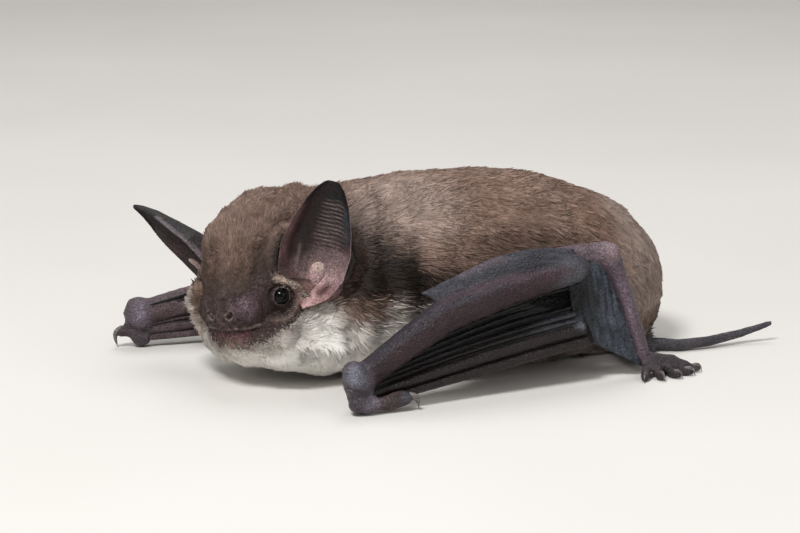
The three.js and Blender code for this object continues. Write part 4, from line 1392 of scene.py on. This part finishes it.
def tuft_arrays(at, out, dice, lift, length, width):
    """The four points of each tuft, their normals and a chance value for each tuft."""
    count = len(at)
    way = lie_of_coat(at, out)
    on_head = smooth_step(19, 13, np.linalg.norm(to_head(at), axis=1))
    swing = 0.2 * ripple(at, 7, 51) + 0.2 * ripple(at, 1.9, 52)
    swing = (swing + dice.normal(0, 1, count) * (0.14 + 0.2 * on_head))[:, None]
    way = way * np.cos(swing) + np.cross(out, way) * np.sin(swing)
    across = np.cross(out, way)
    stray = dice.uniform(size=count) < STRAY_SHARE
    length = length * dice.uniform(0.86, 1.08, count) * np.where(stray, 1.15, 1)
    lift = lift * (1.3 - 0.3 * on_head)
    steep = np.arcsin(np.clip(lift / length, 0.05, 0.9)) * dice.uniform(0.75, 1.0, count)
    steep = steep * (1 - 0.35 * smooth_step(6, 24, at[:, 0])) + 0.1 * stray
    rise = np.clip(steep + 0.24, 0.1, 1.3)[:, None]
    tuck = 0.3 * throat_share(at)
    fall = np.clip(steep - 0.46 - tuck, -0.18 - tuck, 1.2)[:, None]
    length = length[:, None]
    middle, number = clumps(at, dice)
    pull = (middle - at) * np.where(stray, 0.0, CLUMP_PULL)[:, None]
    near, far = ROOT_SHARE * length, (1 - ROOT_SHARE) * length
    waist = at + near * (way * np.cos(rise) + out * np.sin(rise)) + 0.4 * pull
    tip = waist + far * (way * np.cos(fall) + out * np.sin(fall)) + 0.6 * pull
    half = across * (width * dice.uniform(0.75, 1.25, count) / 2)[:, None]
    corners = np.stack([at - 0.12 * out, waist - half, waist + half, tip], 1)
    corners[:, :, 2] = np.maximum(corners[:, :, 2], 0.04)
    soft = np.stack([out, unit(out - 0.5 * across), unit(out + 0.5 * across),
                     unit(out + 0.25 * way)], 1)
    shades = dice.uniform(size=number.max() + 1)
    return corners, soft, 0.52 * shades[number] + 0.48 * dice.uniform(size=count)


def make_coat_piece(name, roots, chosen, material, sizes, marks):
    """One piece of the coat, with a tuft on each of the chosen roots."""
    dice = np.random.default_rng(len(chosen))
    sizes = [values[chosen] for values in sizes]
    corners, soft, chance = tuft_arrays(roots.at[chosen], roots.out[chosen], dice, *sizes)
    count = len(chosen)
    faces = (TUFT_FACES[None] + np.arange(count)[:, None, None] * 4).reshape(-1, 3)
    mesh = bpy.data.meshes.new(name)
    mesh.vertices.add(count * 4)
    mesh.loops.add(faces.size)
    mesh.polygons.add(len(faces))
    mesh.loops.foreach_set("vertex_index", faces.astype(np.int32).ravel())
    mesh.polygons.foreach_set("loop_start", np.arange(0, faces.size, 3, dtype=np.int32))
    mesh.update(calc_edges=True)
    put_points(mesh, corners)
    pale, dark, light = (part[chosen][:, None] for part in marks)
    values = np.empty((count, 4, 4))
    values[:, :, 0], values[:, :, 1], values[:, :, 2] = pale, dark, TUFT_ALONG
    values[:, :, 3] = 0.5 + (chance[:, None] - 0.5) * (1 - 0.7 * pale) + 0.06 * light + 0.32 * pale
    paint_mesh(mesh, "markings", values.reshape(-1, 4))
    places = (roots.map[chosen][:, None] + TUFT_MAP).reshape(-1, 2)
    bake = mesh.uv_layers.new(name="OFBake")
    bake.data.foreach_set("uv", places[faces.ravel()].astype(np.float32).ravel())
    piece = new_piece(name, mesh, material)
    mesh.normals_split_custom_set_from_vertices(soft.reshape(-1, 3).tolist())
    return piece


TUFTS, QUICK_TUFTS, COAT_SEED = 362000, 150000, 5
PIECE_TUFTS = 49000  # in one piece at most
COAT_PIECES = ("coat_throat", "coat_crown", "coat_cheeks", "coat_shoulders", "coat_back",
               "coat_flanks", "coat_loins", "coat_rump")


def part_of_coat(place, x, pale):
    """The number of the coat piece that each tuft belongs to."""
    throat, crown, cheeks, body = range(4)
    order = np.where(place[:, 2] > 2.5, crown, cheeks)
    order = np.where(np.linalg.norm(place, axis=1) < 15, order, body)
    order = np.where((pale > 0.5) & (x < -12), throat, order)
    rest = order == body
    order[rest] += np.searchsorted(np.quantile(x[rest], [0.2, 0.4, 0.6, 0.8]), x[rest])
    return order


def make_coat(body, material):
    """The whole coat, in pieces that each stay well under the limit of triangles."""
    points = points_of(body)
    _, length, cover = coat_fields(points)
    hidden = points[:, 2] < 1.2
    crowd = cover * np.clip(2.4 / length, 0.8, 2.2) * np.where(hidden, 0.45, 1.0)
    roots = Roots(body, TUFTS, crowd, COAT_SEED)
    lift, length, _ = coat_fields(roots.at)
    sizes = np.maximum(lift, 0.25), length, np.clip(TUFT_WIDTH * length, *WIDTH_LIMITS)
    near = roots.at + roots.dice.normal(0, 0.55, roots.at.shape)
    marks = (*coat_marks(near), coat_light(near))
    order = part_of_coat(to_head(roots.at), roots.at[:, 0], marks[0])
    pieces = []
    for k, name in enumerate(COAT_PIECES):
        chosen = np.flatnonzero(order == k)
        for number in range(math.ceil(len(chosen) / PIECE_TUFTS)):
            part = chosen[number * PIECE_TUFTS:(number + 1) * PIECE_TUFTS]
            title = name if number == 0 else f"{name}_{number + 1}"
            piece = make_coat_piece(title, roots, part, material, sizes, marks)
            pieces.append(piece)
    return pieces


# ------------------------------------------------------------------ eyes and claws
def make_eye(name, middle, facing, material):
    """An eyeball with a slightly domed front."""
    shape = bmesh.new()
    bmesh.ops.create_uvsphere(shape, u_segments=40, v_segments=26, radius=EYE_RADIUS * MM)
    for vert in shape.verts:
        dome = max(vert.co.normalized().z - DOME_EDGE, 0)
        vert.co.z += dome * DOME_RISE * MM
    turned = Vector(facing).to_track_quat("Z", "Y").to_matrix()
    bmesh.ops.rotate(shape, verts=shape.verts, matrix=turned)
    bmesh.ops.translate(shape, verts=shape.verts, vec=Vector(middle * MM))
    piece = new_piece(name, shape, material)
    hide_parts(name)
    return piece


def add_claw(shape, points, radius, rings=9, sides=10):
    """A curved, tapering, slightly flattened claw through three places."""
    shares = np.linspace(0, 1, rings)
    line = bent(points, shares)
    ways = unit(np.gradient(line, axis=0))
    before = None
    for i, (spot, way) in enumerate(zip(line, ways)):
        size = radius * (1 - shares[i] ** 1.6) + 0.02
        turned = Vector(way).to_track_quat("Z", "Y").to_matrix().to_4x4()
        place = Matrix.Translation(Vector(spot * MM)) @ turned @ Matrix.Diagonal((0.8, 1.1, 1, 1))
        made = bmesh.ops.create_circle(shape, cap_ends=i in (0, rings - 1), segments=sides,
                                       radius=size * MM, matrix=place)
        verts = set(made["verts"])
        loop = [e for e in shape.edges if e.verts[0] in verts and e.verts[1] in verts]
        if before:
            bmesh.ops.bridge_loops(shape, edges=before + loop)
        before = loop


THUMB_CLAW = {
    "left": [(-18.9, -24.8, 2.2), (-17.7, -24.9, 1.7), (-17.5, -25, 0.2)],
    "right": [(-44.9, 25.9, 2.9), (-46.1, 26, 2.1), (-45.8, 25.9, 0.2)],
}
TOES, FIRST_TOE, LAST_TOE = 5, 124, 14  # how many, and the headings that they spread between
TOE_CLAW = ((2.3, 0.8), (3.6, 1.15), (4.1, 0.1))  # reach and height of its root, bend and point


def make_claws(material):
    """The two claws of the thumbs and the ten of the toes, as one piece."""
    shape = bmesh.new()
    for side, outward in SIDES.items():
        add_claw(shape, THUMB_CLAW[side], 0.58)
        x, y, _ = ANKLE[side]
        for share in np.linspace(0, 1, TOES):
            heading = math.radians(FIRST_TOE + share * (LAST_TOE - FIRST_TOE))
            reach = np.array((math.cos(heading), outward * math.sin(heading), 0))
            root = (x + 0.3 + 4.7 * share, y + outward * (0.9 + 0.3 * share), 0)
            places = [root + reach * far + (0, 0, high) for far, high in TOE_CLAW]
            add_claw(shape, places, 0.34, rings=7, sides=8)
    bmesh.ops.recalc_face_normals(shape, faces=shape.faces)
    piece = new_piece("claws", shape, material)
    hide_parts("thumb_claw_left", "thumb_claw_right")
    return piece


def make_floor(material):
    """The stage's floor, wide enough to be its backdrop too."""
    shape = bmesh.new()
    bmesh.ops.create_grid(shape, x_segments=4, y_segments=4, size=3)
    floor = new_piece("floor", shape, material)


# ------------------------------------------------------------------ putting it together
def build():
    place_camera()
    light_studio()
    make_floor(floor_finish())
    skin, body = make_skin(skin_finish())
    pieces = [skin, make_claws(horn_finish())]
    eye = eye_finish()
    for side, (middle, facing) in eye_places().items():
        pieces.append(make_eye(f"eye_{side}", middle, facing, eye))
    pieces += make_coat(body, fur_finish())
    for piece in pieces:
        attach(piece, "root")


build()
